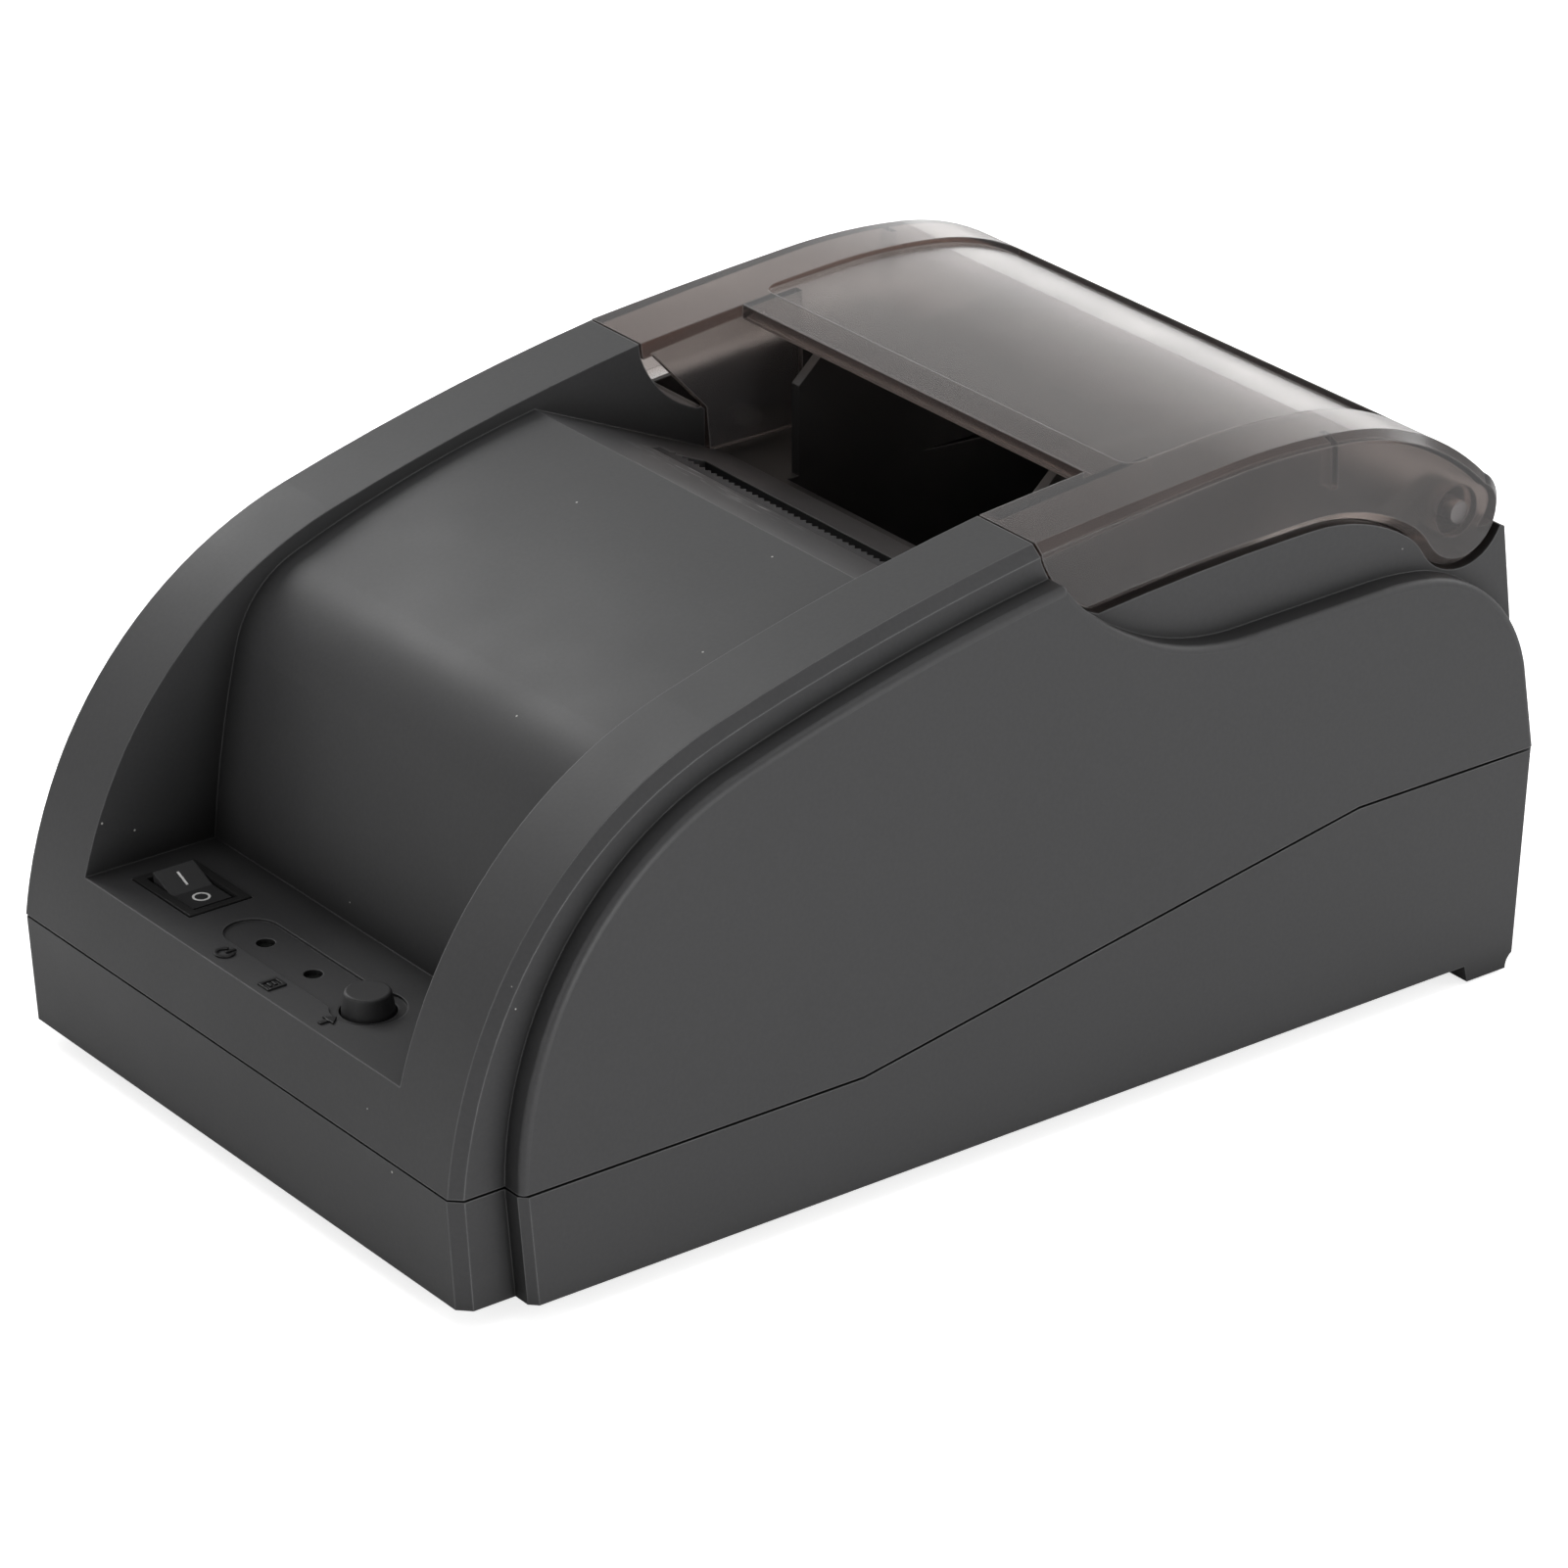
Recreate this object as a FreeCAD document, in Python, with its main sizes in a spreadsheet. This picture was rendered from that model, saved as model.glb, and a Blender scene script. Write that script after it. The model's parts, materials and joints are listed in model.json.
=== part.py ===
"""Receipt printer for 58 mm thermal paper, as a parametric FreeCAD document.

Millimetres, +Z up, the operator's side faces -Y, +X is the printer's right.
The origin is the middle of the footprint, on the surface that the feet stand on.
Every driving size is a named cell of the spreadsheet "Sizes".
"""
import FreeCAD
import Part
import Sketcher
import math
import os

doc = FreeCAD.newDocument("ReceiptPrinter")
V = FreeCAD.Vector
X_AXIS, Y_AXIS, Z_AXIS = V(1, 0, 0), V(0, 1, 0), V(0, 0, 1)

# ---------------------------------------------------------------- driving sizes
SIZES = {
    # whole housing
    "cheek_half": 66.5,        # half the overall width, to the face of a cheek
    "side_half": 62.0,         # half width of the arch and of the housing's upper sides
    "band_half": 44.8,         # half width of the well between the two arch bands
    "wall": 2.2,               # moulded wall
    "case_bottom": 3.5,        # underside of the lower case above the table
    "front_y": -106.9,         # front face at the parting line
    "rear_y": 106.9,           # rear face at the parting line
    "part_gap": 0.45,          # shadow gap between lower and upper case
    "part_low": 22.8,          # parting height at the front
    "part_high": 39.7,         # parting height at the rear
    "part_rise_y": -33.0,      # where the parting line starts to climb
    "part_level_y": 68.5,      # and where it is level again
    # arch, as a chain of tangent arcs seen from the side
    "arch_mid_y": -99.8, "arch_mid_z": 48.26, "arch_low_rad": 81.09,
    "arch_top_y": -55.61, "arch_top_z": 86.43, "arch_mid_rad": 71.02,
    "seam_y": 6.0, "seam_z": 100.1, "arch_top_rad": 449.4,
    "edge_bevel": 1.8,         # bevel along the outer edge of the arch
    "lean": 0.024,             # inward lean of every side above the parting height, per unit of height
    # cheeks: the raised side plates
    "cheek_front_y": -97.6,
    "cheek_a_y": -93.77, "cheek_a_z": 43.71, "cheek_a_rad": 65.93,
    "cheek_b_y": -55.27, "cheek_b_z": 80.45, "cheek_b_rad": 59.25,
    "cheek_tip_y": 7.65, "cheek_tip_z": 94.38, "cheek_top_rad": 412.0,
    "dip_a_y": 21.78, "dip_a_z": 82.18, "dip_a_rad": 42.21,
    "dip_b_y": 46.72, "dip_b_z": 75.99, "dip_b_rad": 44.69,
    "hump_y": 73.18, "hump_z": 76.43,
    "shoulder_y": 83.38, "shoulder_z": 75.64, "shoulder_rad": 60.0,
    "heel_y": 104.64, "heel_z": 55.15, "heel_rad": 26.1,
    "cheek_round": 1.2,        # rounding of the cheek's outer edge
    # rear housing
    "rear_top_y": 102.8, "rear_top_z": 78.6,
    # well of the arch: control shelf, curved front panel, ledge behind its ridge
    "shelf_z": 34.85, "shelf_back_y": -79.92,
    "panel_a_y": -74.55, "panel_a_z": 67.47, "panel_a_rad": 208.5,
    "panel_b_y": -62.87, "panel_b_z": 80.76, "panel_b_rad": 19.2,
    "ridge_y": -15.47, "ridge_z": 93.69, "panel_c_rad": 236.1,
    "ledge_y": 24.4, "ledge_z": 76.0,
    "slot_half": 32.0, "slot_front_y": 1.9, "slot_back_y": 9.6,
    # cover
    "crest_a_y": 46.22, "crest_a_z": 103.44, "crest_a_rad": 1120.8,
    "crest_b_y": 70.79, "crest_b_z": 102.67, "crest_b_rad": 123.9,
    "crest_c_y": 99.38, "crest_c_z": 88.27, "crest_c_rad": 48.55,
    "tail_rad": 6.14,
    "hinge_y": 93.35, "hinge_z": 83.15, "ear_rad": 9.1,
    "wave_c_y": 85.36, "wave_c_z": 78.66, "wave_c_rad": 11.87,
    "wave_b_y": 81.97, "wave_b_z": 82.4, "wave_b_rad": 35.19,
    "wave_a_y": 61.51, "wave_a_z": 88.69, "hem_rad": 477.8,
    "hem_y": 17.46, "hem_z": 86.22, "seam_side_rad": 19.0,
    "seam_gap": 0.4, "cover_wall": 2.2,
    "notch_y": 27.0, "bar_y": 33.3, "inset_half": 48.0, "inset_back_y": 88.5,
    "inset_deep": 1.0, "inset_round": 3.0, "skirt_back_y": 39.5, "hinge_pin_rad": 1.9,
    # print mechanism
    "platen_y": 9.5, "platen_z": 66.0, "platen_rad": 6.0, "platen_half": 29.0,
    "shaft_rad": 2.5, "run_gap": 0.05, "frame_half": 36.5, "plate": 1.5,
    "gear_module": 0.8, "gear_wide": 3.4, "gear_x": 38.1,
    "idler_y": -8.28, "idler_z": 53.55, "motor_y": -24.16, "motor_z": 59.33,
    "motor_rad": 10.0, "motor_long": 17.0, "mech_screw_x": 31.0,
    # paper bucket
    "bucket_half": 30.0, "bucket_front_y": 25.0, "bucket_rad": 28.2,
    "bucket_mid_z": 49.5, "deck_z": 76.0, "skin": 2.0, "guide_top_z": 97.0,
    "bucket_screw_x": 55.5, "bucket_screw_y": 35.0,
    # operator panel
    "control_y": -93.8, "led_a_x": -8.7, "led_b_x": 4.8, "led_rad": 1.5,
    "pill_rad": 4.7, "pill_end_x": -12.4, "pill_deep": 0.45,   # shallow recess round the lamps
    "button_x": 20.2, "button_rad": 4.25, "button_top_rad": 3.7, "button_high": 3.05,
    "rocker_x": -31.1, "rocker_y": -93.1, "rocker_pivot_z": 32.2,
    "rocker_half": 5.6, "rocker_wide": 3.85, "rocker_lean": 22.0,
    "panel_board_z": 24.6, "board_thick": 1.6,
    "panel_screw_a_x": -17.5, "panel_screw_b_x": 12.5,
    # main board and sockets
    "board_z": 10.0, "board_half": 47.0, "board_front_y": 8.0, "board_back_y": 102.4,
    "usb_x": -30.0, "drawer_x": 0.0, "power_x": 32.0, "socket_y": 105.0,
    # feet and screws
    "foot_rad": 6.0, "foot_x": 50.0, "foot_front_y": -90.0, "foot_rear_y": 97.4,
    "post_x": 53.0, "post_front_y": -74.0, "post_rear_y": 84.0, "screw_rad": 1.5,
}


class Dim:
    """A size in millimetres together with the spreadsheet formula that gives it."""

    def __init__(self, value, text):
        self.value = float(value)
        self.text = text

    @staticmethod
    def of(other):
        if isinstance(other, Dim):
            return other
        return Dim(other, repr(round(float(other), 6)))

    def __add__(self, other):
        other = Dim.of(other)
        return Dim(self.value + other.value, "(%s + %s)" % (self.text, other.text))

    def __radd__(self, other):
        return Dim.of(other) + self

    def __sub__(self, other):
        other = Dim.of(other)
        return Dim(self.value - other.value, "(%s - %s)" % (self.text, other.text))

    def __rsub__(self, other):
        return Dim.of(other) - self

    def __mul__(self, other):
        other = Dim.of(other)
        return Dim(self.value * other.value, "(%s * %s)" % (self.text, other.text))

    def __rmul__(self, other):
        return Dim.of(other) * self

    def __truediv__(self, other):
        other = Dim.of(other)
        return Dim(self.value / other.value, "(%s / %s)" % (self.text, other.text))

    def __neg__(self):
        return Dim(-self.value, "(-1 * %s)" % self.text)


def make_sheet():
    """Write the sizes as plain numbers with aliases, and return them as named Dims."""
    sheet = doc.addObject("Spreadsheet::Sheet", "Sizes")
    names = {}
    for row, (alias, value) in enumerate(SIZES.items(), start=1):
        sheet.set("A%d" % row, alias)
        sheet.set("B%d" % row, repr(value))
        sheet.setAlias("B%d" % row, alias)
        names[alias] = Dim(value, "Sizes.%s" % alias)
    doc.recompute()
    return names


S = make_sheet()
nodes = {}


# ---------------------------------------------------------------- document helpers
def bind(obj, prop, size):
    """Set a property from a size and tie it to the spreadsheet."""
    size = Dim.of(size)
    obj.setExpression(prop, size.text)


def place(obj, x, y, z, axis=None, angle=0):
    """Place an object at (x, y, z), turned about an axis, with the position tied to the sheet."""
    turn = FreeCAD.Rotation(axis or Z_AXIS, angle)
    at = [Dim.of(v) for v in (x, y, z)]
    obj.Placement = FreeCAD.Placement(V(*[a.value for a in at]), turn)
    for letter, size in zip("xyz", at):
        bind(obj, ".Placement.Base.%s" % letter, size)
    return obj


def box(x0, x1, y0, y1, z0, z1):
    """A block between two corners."""
    obj = doc.addObject("Part::Box", "Block")
    x0, x1, y0, y1, z0, z1 = [Dim.of(v) for v in (x0, x1, y0, y1, z0, z1)]
    bind(obj, "Length", x1 - x0)
    bind(obj, "Width", y1 - y0)
    bind(obj, "Height", z1 - z0)
    return place(obj, x0, y0, z0)


TURN = {"x": (Y_AXIS, 90), "y": (X_AXIS, -90), "z": (Z_AXIS, 0)}


def rod(way, x, y, z, rad, length):
    """A cylinder that starts at (x, y, z) and runs along +x, +y or +z."""
    obj = doc.addObject("Part::Cylinder", "Rod")
    bind(obj, "Radius", rad)
    bind(obj, "Height", length)
    return place(obj, x, y, z, *TURN[way])


def cone(way, x, y, z, rad0, rad1, length):
    """A cone frustum that starts at (x, y, z) and runs along +x, +y or +z."""
    obj = doc.addObject("Part::Cone", "Frustum")
    bind(obj, "Radius1", rad0)
    bind(obj, "Radius2", rad1)
    bind(obj, "Height", length)
    return place(obj, x, y, z, *TURN[way])


def fuse(*shapes):
    obj = doc.addObject("Part::MultiFuse", "Union")
    obj.Shapes = list(shapes)
    obj.Refine = True
    return obj


def cut(base, *tools):
    """The base with every tool taken away."""
    for tool in tools:
        obj = doc.addObject("Part::Cut", "Cut")
        obj.Base = base
        obj.Tool = tool
        base = obj
    return base


def group(*shapes):
    """Separate identical pieces kept together as one node."""
    obj = doc.addObject("Part::Compound", "Group")
    obj.Links = list(shapes)
    return obj


def mirror_x(source):
    """The same thing on the other side of the middle plane."""
    obj = doc.addObject("Part::Mirroring", "Mirror")
    obj.Source = source
    obj.Normal = X_AXIS
    return obj


def arc_between(p, q, rad):
    """The shorter arc from p to q; a positive radius bulges to the left of the way p to q."""
    chord = q - p
    left = V(-chord.y, chord.x, 0).normalize()
    half = chord.Length / 2
    sag = abs(rad) - math.sqrt(rad * rad - half * half)
    middle = (p + q) * 0.5 + left * math.copysign(sag, rad)
    return Part.Arc(p, middle, q)


def outline(points, name="Outline"):
    """A closed sketch. Each point is (u, v) or (u, v, radius of the arc that arrives there)."""
    sketch = doc.addObject("Sketcher::SketchObject", name)
    spots = [(Dim.of(p[0]), Dim.of(p[1]), Dim.of(p[2]) if len(p) > 2 else None) for p in points]
    corners = [V(u.value, v.value, 0) for u, v, _ in spots]
    count = len(spots)
    for i in range(count):
        p, q, rad = corners[i - 1], corners[i], spots[i][2]
        if rad is None:
            sketch.addGeometry(Part.LineSegment(p, q), False)
        else:
            arc = arc_between(p, q, rad.value)
            index = sketch.addGeometry(arc, False)
            # a sketch keeps its arcs anticlockwise, so the ends may have been swapped
            start = sketch.getPoint(index, 1)
            spots[i] += ((1, 2) if (start - p).Length < 1e-6 else (2, 1),)
    ends = [s[3] if len(s) > 3 else (1, 2) for s in spots]
    for i in range(count):
        j = (i + 1) % count
        sketch.addConstraint(Sketcher.Constraint("Coincident", i, ends[i][1], j, ends[j][0]))
    for i, spot in enumerate(spots):
        for kind, size in (("DistanceX", spot[0]), ("DistanceY", spot[1])):
            pin = Sketcher.Constraint(kind, -1, 1, i, ends[i][1], size.value)
            number = sketch.addConstraint(pin)
            bind(sketch, "Constraints[%d]" % number, size)
        if spot[2] is not None:
            rad = spot[2] if spot[2].value > 0 else -spot[2]
            number = sketch.addConstraint(Sketcher.Constraint("Radius", i, rad.value))
            bind(sketch, "Constraints[%d]" % number, rad)
    return sketch


# A side outline is drawn in (Y, Z) and pushed along X; a plan outline in (X, Y), along Z;
# a front outline in (X, Z), pushed along -Y towards +Y.
SIDE = FreeCAD.Rotation(V(0, 1, 0), V(0, 0, 1), V(1, 0, 0), "XYZ")


def push(sketch, way, start, stop):
    """Extrude a sketch along x, y or z from start to stop."""
    start, stop = Dim.of(start), Dim.of(stop)
    turn, letter, line = {
        "x": (SIDE, "x", X_AXIS),
        "y": (FreeCAD.Rotation(X_AXIS, 90), "y", Y_AXIS),
        "z": (FreeCAD.Rotation(), "z", Z_AXIS),
    }[way]
    base = V(0, 0, 0)
    setattr(base, letter, start.value)
    sketch.Placement = FreeCAD.Placement(base, turn)
    bind(sketch, ".Placement.Base.%s" % letter, start)
    obj = doc.addObject("Part::Extrusion", "Push")
    obj.Base = sketch
    obj.DirMode = "Custom"
    obj.Dir = line
    obj.Solid = True
    bind(obj, "LengthFwd", stop - start)
    return obj


def across(points, half):
    """A side outline pushed from -half to +half."""
    half = Dim.of(half)
    return push(outline(points), "x", -half, half)


def offset(sketch, distance):
    """A parallel outline: outwards when the distance is positive."""
    obj = doc.addObject("Part::Offset2D", "Parallel")
    obj.Source = sketch
    obj.Join = "Arc"
    bind(obj, "Value", distance)
    return obj


def push_offset(points, distance, half):
    """The parallel of a side outline, pushed from -half to +half."""
    half = Dim.of(half)
    sketch = outline(points)
    sketch.Placement = FreeCAD.Placement(V(-half.value, 0, 0), SIDE)
    bind(sketch, ".Placement.Base.x", -half)
    obj = doc.addObject("Part::Extrusion", "Push")
    obj.Base = offset(sketch, distance)
    obj.DirMode = "Custom"
    obj.Dir = X_AXIS
    obj.Solid = True
    bind(obj, "LengthFwd", half * 2)
    return obj


def dress(kind, base, wanted, size):
    """Fillet or chamfer the edges of a base that a test picks."""
    doc.recompute()
    picked = [i for i, e in enumerate(base.Shape.Edges, start=1) if wanted(e)]
    if not picked:
        raise ValueError("no edge to dress on " + base.Label)
    obj = doc.addObject("Part::" + kind, kind)
    obj.Base = base
    obj.Edges = [(i, size, size) for i in picked]
    return obj


def node(name, obj):
    """Give a finished sub-part its own name."""
    obj.Label = name
    nodes[name] = obj
    return obj


def middle(edge):
    return edge.valueAt((edge.FirstParameter + edge.LastParameter) / 2)


def half_at(half, z):
    """Half width at height z of a side that is half wide at the parting height and leans inwards."""
    return Dim.of(half) - S["lean"] * (Dim.of(z) - S["part_low"])


def lean_in(solid, half):
    """Slope both sides of a solid inwards above the parting height."""
    half, top = Dim.of(half), 130
    wedge = push(outline([
        (half, S["part_low"]), (half + 20, S["part_low"]), (half + 20, top), (half_at(half, top), top),
    ]), "y", -125, 125)
    return cut(solid, wedge, mirror_x(wedge))


def on_side(edge, half):
    """Whether an edge lies on a leaning side."""
    spot = middle(edge)
    height = max(spot.z, S["part_low"].value)
    return abs(abs(spot.x) - half_at(half, height).value) < 0.03


# ---------------------------------------------------------------- shared outlines
def arch_line():
    """The crown of the arch from the front foot back to the cover's seam."""
    return [
        (S["front_y"], S["part_low"]),
        (S["arch_mid_y"], S["arch_mid_z"], S["arch_low_rad"]),
        (S["arch_top_y"], S["arch_top_z"], S["arch_mid_rad"]),
        (S["seam_y"], S["seam_z"], S["arch_top_rad"]),
    ]


def cover_line():
    """The side outline of the cover, from the seam over the crest and back along its hem."""
    ear_low = S["hinge_z"] - S["ear_rad"]
    return [
        (S["seam_y"], S["seam_z"]),
        (S["crest_a_y"], S["crest_a_z"], S["crest_a_rad"]),
        (S["crest_b_y"], S["crest_b_z"], S["crest_b_rad"]),
        (S["crest_c_y"], S["crest_c_z"], S["crest_c_rad"]),
        (S["hinge_y"] + S["ear_rad"], S["hinge_z"], S["tail_rad"]),
        (S["hinge_y"], ear_low, S["ear_rad"]),
        (S["wave_c_y"], S["wave_c_z"], S["ear_rad"]),
        (S["wave_b_y"], S["wave_b_z"], -S["wave_c_rad"]),
        (S["wave_a_y"], S["wave_a_z"], -S["wave_b_rad"]),
        (S["hem_y"], S["hem_z"], -S["hem_rad"]),
        (S["seam_y"] + 0.3, S["seam_z"] - 2.4, S["seam_side_rad"]),
    ]


def cheek_line():
    """The outline of the raised side plate."""
    return [
        (S["rear_y"], S["part_high"]),
        (S["rear_y"], S["part_low"] - 6),
        (S["cheek_front_y"], S["part_low"] - 6),
        (S["cheek_front_y"], S["part_low"]),
        (S["cheek_a_y"], S["cheek_a_z"], S["cheek_a_rad"]),
        (S["cheek_b_y"], S["cheek_b_z"], S["cheek_b_rad"]),
        (S["cheek_tip_y"], S["cheek_tip_z"], S["cheek_top_rad"]),
        (S["dip_a_y"], S["dip_a_z"], -S["dip_a_rad"]),
        (S["dip_b_y"], S["dip_b_z"], -S["dip_b_rad"]),
        (S["hump_y"], S["hump_z"]),
        (S["shoulder_y"], S["shoulder_z"], S["shoulder_rad"]),
        (S["heel_y"], S["heel_z"], S["heel_rad"]),
    ]


def well_line():
    """Everything above the control shelf, the curved front panel and the ledge."""
    return [
        (S["front_y"] - 12, S["shelf_z"]),
        (S["shelf_back_y"], S["shelf_z"]),
        (S["panel_a_y"], S["panel_a_z"], S["panel_a_rad"]),
        (S["panel_b_y"], S["panel_b_z"], S["panel_b_rad"]),
        (S["ridge_y"], S["ridge_z"], S["panel_c_rad"]),
        (S["ledge_y"], S["ledge_z"]),
        (S["ledge_y"] + 20, S["ledge_z"]),
        (S["ledge_y"] + 20, S["seam_z"] + 30),
        (S["front_y"] - 12, S["seam_z"] + 30),
    ]


def below_parting(shift):
    """Everything below the parting line, moved up by a shift."""
    return [
        (S["front_y"] - 20, -20),
        (S["rear_y"] + 20, -20),
        (S["rear_y"] + 20, S["part_high"] + shift),
        (S["part_level_y"], S["part_high"] + shift),
        (S["part_rise_y"], S["part_low"] + shift),
        (S["front_y"] - 20, S["part_low"] + shift),
    ]


def ledge_at(y):
    """Height of the sloping ledge at a given y."""
    slope = (S["ledge_z"] - S["ridge_z"]) / (S["ledge_y"] - S["ridge_y"])
    return S["ridge_z"] + (Dim.of(y) - S["ridge_y"]) * slope


def tear_height():
    """Height of the seat that the tear bar lies on."""
    return ledge_at(S["slot_front_y"]) - 0.55


# ---------------------------------------------------------------- housing
def upper_case():
    """Arch, cheeks, control shelf, curved front panel and ledge in one moulding."""
    wall = S["wall"]
    block_line = arch_line() + [
        (S["hem_y"] + 14, S["seam_z"] - 4),
        (S["hinge_y"], S["hinge_z"]),
        (S["hinge_y"] + 8, S["rear_top_z"] + 0.6),
        (S["rear_top_y"], S["rear_top_z"]),
        (S["rear_y"], S["part_high"]),
        (S["rear_y"], S["part_low"] - 6),
        (S["front_y"], S["part_low"] - 6),
    ]
    block = lean_in(across(block_line, S["side_half"]), S["side_half"])

    def arch_edge(edge):
        spot = middle(edge)
        crown = spot.y < S["seam_y"].value and spot.z > S["part_low"].value
        long_ = edge.BoundBox.YLength + edge.BoundBox.ZLength > 5
        return crown and long_ and on_side(edge, S["side_half"])

    block = dress("Chamfer", block, arch_edge, S["edge_bevel"].value)
    cheeks = lean_in(across(cheek_line(), S["cheek_half"]), S["cheek_half"])

    def cheek_edge(edge):
        rim = edge.BoundBox.YLength < 150 and middle(edge).z > S["part_low"].value
        return rim and on_side(edge, S["cheek_half"])

    cheeks = dress("Fillet", cheeks, cheek_edge, S["cheek_round"].value)
    skin = fuse(block, cheeks)
    well = across(well_line(), S["band_half"])
    seat = push_offset(cover_line(), S["seam_gap"], S["cheek_half"] + 8)
    lid_room = across([
        (S["seam_y"] + 1, S["seam_z"] - 3.4),
        (S["seam_y"] + 13, S["hem_z"] - 1),
        (S["seam_y"] + 13, S["deck_z"] - 30),
        (S["rear_top_y"] - wall, S["deck_z"] - 30),
        (S["rear_top_y"] - wall, S["seam_z"] + 20),
        (S["seam_y"] + 1, S["seam_z"] + 20),
    ], S["side_half"] - wall)
    lid_room = lean_in(lid_room, S["side_half"] - wall)
    ledge_end = S["bucket_front_y"] - S["skin"] - 0.3
    ledge_keep = across([
        (S["seam_y"], S["deck_z"] - 8), (ledge_end, S["deck_z"] - 8),
        (ledge_end, ledge_at(ledge_end)), (S["seam_y"], ledge_at(S["seam_y"])),
    ], S["band_half"] - 0.35)
    shell = cut(skin, well, seat, cut(lid_room, ledge_keep))

    inside_line = [
        (S["front_y"] + wall, S["part_low"] - 10),
        (S["front_y"] + wall + 0.1, S["part_low"]),
        (S["arch_mid_y"] + wall - 0.1, S["arch_mid_z"] - 0.6, S["arch_low_rad"] - wall),
        (S["arch_top_y"] + 0.7, S["arch_top_z"] - wall, S["arch_mid_rad"] - wall),
        (S["seam_y"] - wall, S["seam_z"] - wall - 0.8, S["arch_top_rad"] - wall),
        (S["seam_y"] + 9.6, S["hem_z"] - 4.4),
        (S["seam_y"] + 10.6, S["deck_z"] - wall),
        (S["hinge_y"] - 6, S["deck_z"] - wall),
        (S["hinge_y"] + 1, S["deck_z"] - 6),
        (S["rear_top_y"] - wall, S["deck_z"] - 6),
        (S["rear_y"] - wall, S["part_high"]),
        (S["rear_y"] - wall, S["part_low"] - 10),
    ]
    inside = lean_in(across(inside_line, S["side_half"] - wall), S["side_half"] - wall)
    well_skin = push_offset(well_line(), wall, S["band_half"] + wall)
    inside = cut(inside, well_skin)
    cheek_inside = push_offset(cheek_line(), -wall, S["cheek_half"] - wall)
    cheek_inside = lean_in(cheek_inside, S["cheek_half"] - wall)
    middle_block = across(block_line, S["side_half"] - 3 * wall)
    cheek_inside = cut(cheek_inside, middle_block)
    shell = cut(shell, inside, cheek_inside, across(below_parting(S["part_gap"] / 2), 90))

    # holes of the control shelf
    depth = S["shelf_z"] - 6
    tools = []
    for led in ("led_a_x", "led_b_x"):
        tools.append(rod("z", S[led], S["control_y"], depth, S["led_rad"] + 0.05, 12))
    tools.append(rod("z", S["button_x"], S["control_y"], depth, S["button_rad"] + 0.35, 12))
    tools.append(rod("z", S["button_x"], S["control_y"], S["shelf_z"] - S["pill_deep"], 6.1, 2))
    pill, pill_floor = S["pill_rad"], S["shelf_z"] - S["pill_deep"]
    tools.append(box(S["pill_end_x"], S["button_x"], S["control_y"] - pill,
                     S["control_y"] + pill, pill_floor, S["shelf_z"] + 2))
    tools.append(rod("z", S["pill_end_x"], S["control_y"], pill_floor, pill, 2))
    tools.append(box(S["rocker_x"] - 8.6, S["rocker_x"] + 8.6, S["rocker_y"] - 6,
                     S["rocker_y"] + 6, S["shelf_z"] - 0.7, S["shelf_z"] + 2))
    tools.append(box(S["rocker_x"] - 7.65, S["rocker_x"] + 7.65, S["rocker_y"] - 4.9,
                     S["rocker_y"] + 4.9, depth, S["shelf_z"] + 2))
    # paper slot through the ledge, with a seat for the tear bar along its front edge
    half = S["slot_half"]
    tools.append(box(-half, half, S["slot_front_y"], S["slot_back_y"], S["ledge_z"] - 4, S["seam_z"]))
    tools.append(box(-half - 2, half + 2, S["slot_front_y"] - 2.2, S["slot_front_y"] + 0.01,
                     tear_height(), S["seam_z"]))
    shell = cut(shell, *tools)

    # screw posts reach down to the lower case, one in each corner, and ribs tie them to the cheeks
    posts = []
    top = S["part_high"] + 8
    for y in (S["post_front_y"], S["post_rear_y"]):
        for x in (S["post_x"], -S["post_x"]):
            post = rod("z", x, y, S["part_low"] + 0.4, 4.2, top - S["part_low"])
            posts.append(cut(post, rod("z", x, y, S["part_low"], S["screw_rad"] - 0.1, 11)))
        rib = box(S["post_x"] + 3.5, S["cheek_half"] - wall + 0.1, y - 0.9, y + 0.9,
                  S["part_high"] + 0.6, top)
        posts += [rib, mirror_x(rib)]
    # rails under the deck of the paper bucket
    rail = box(S["bucket_screw_x"] - 3.5, S["cheek_half"] - wall + 0.1, S["bucket_screw_y"] - 5,
               S["hinge_y"] - 16, S["deck_z"] - S["skin"] - 2.4, S["deck_z"] - S["skin"] - 0.05)
    for y in (S["bucket_screw_y"], S["bucket_screw_y"] + 30):
        rail = cut(rail, rod("z", S["bucket_screw_x"], y, S["deck_z"] - 12, 1.0, 20))
    # bosses above the small board of the operator panel
    for x in (S["panel_screw_a_x"], S["panel_screw_b_x"]):
        boss = rod("z", x, S["control_y"] + 5.8, S["panel_board_z"] + S["board_thick"] + 0.05,
                   2.3, S["shelf_z"] - wall - S["panel_board_z"] - S["board_thick"] + 0.1)
        pilot = rod("z", x, S["control_y"] + 5.8, S["panel_board_z"], 0.9, 6.3)
        posts.append(cut(boss, pilot))
    # bosses that carry the print mechanism
    bosses = []
    for x in (-S["mech_screw_x"], S["mech_screw_x"]):
        boss = rod("z", x, S["platen_y"] - 26, S["platen_z"] + 14.15, 3.4, 11.2)
        pilot = rod("z", x, S["platen_y"] - 26, S["platen_z"] + 14, S["screw_rad"] - 0.2, 7)
        bosses.append(cut(boss, pilot))
    return node("upper_case", fuse(shell, rail, mirror_x(rail), *posts, *bosses))


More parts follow.
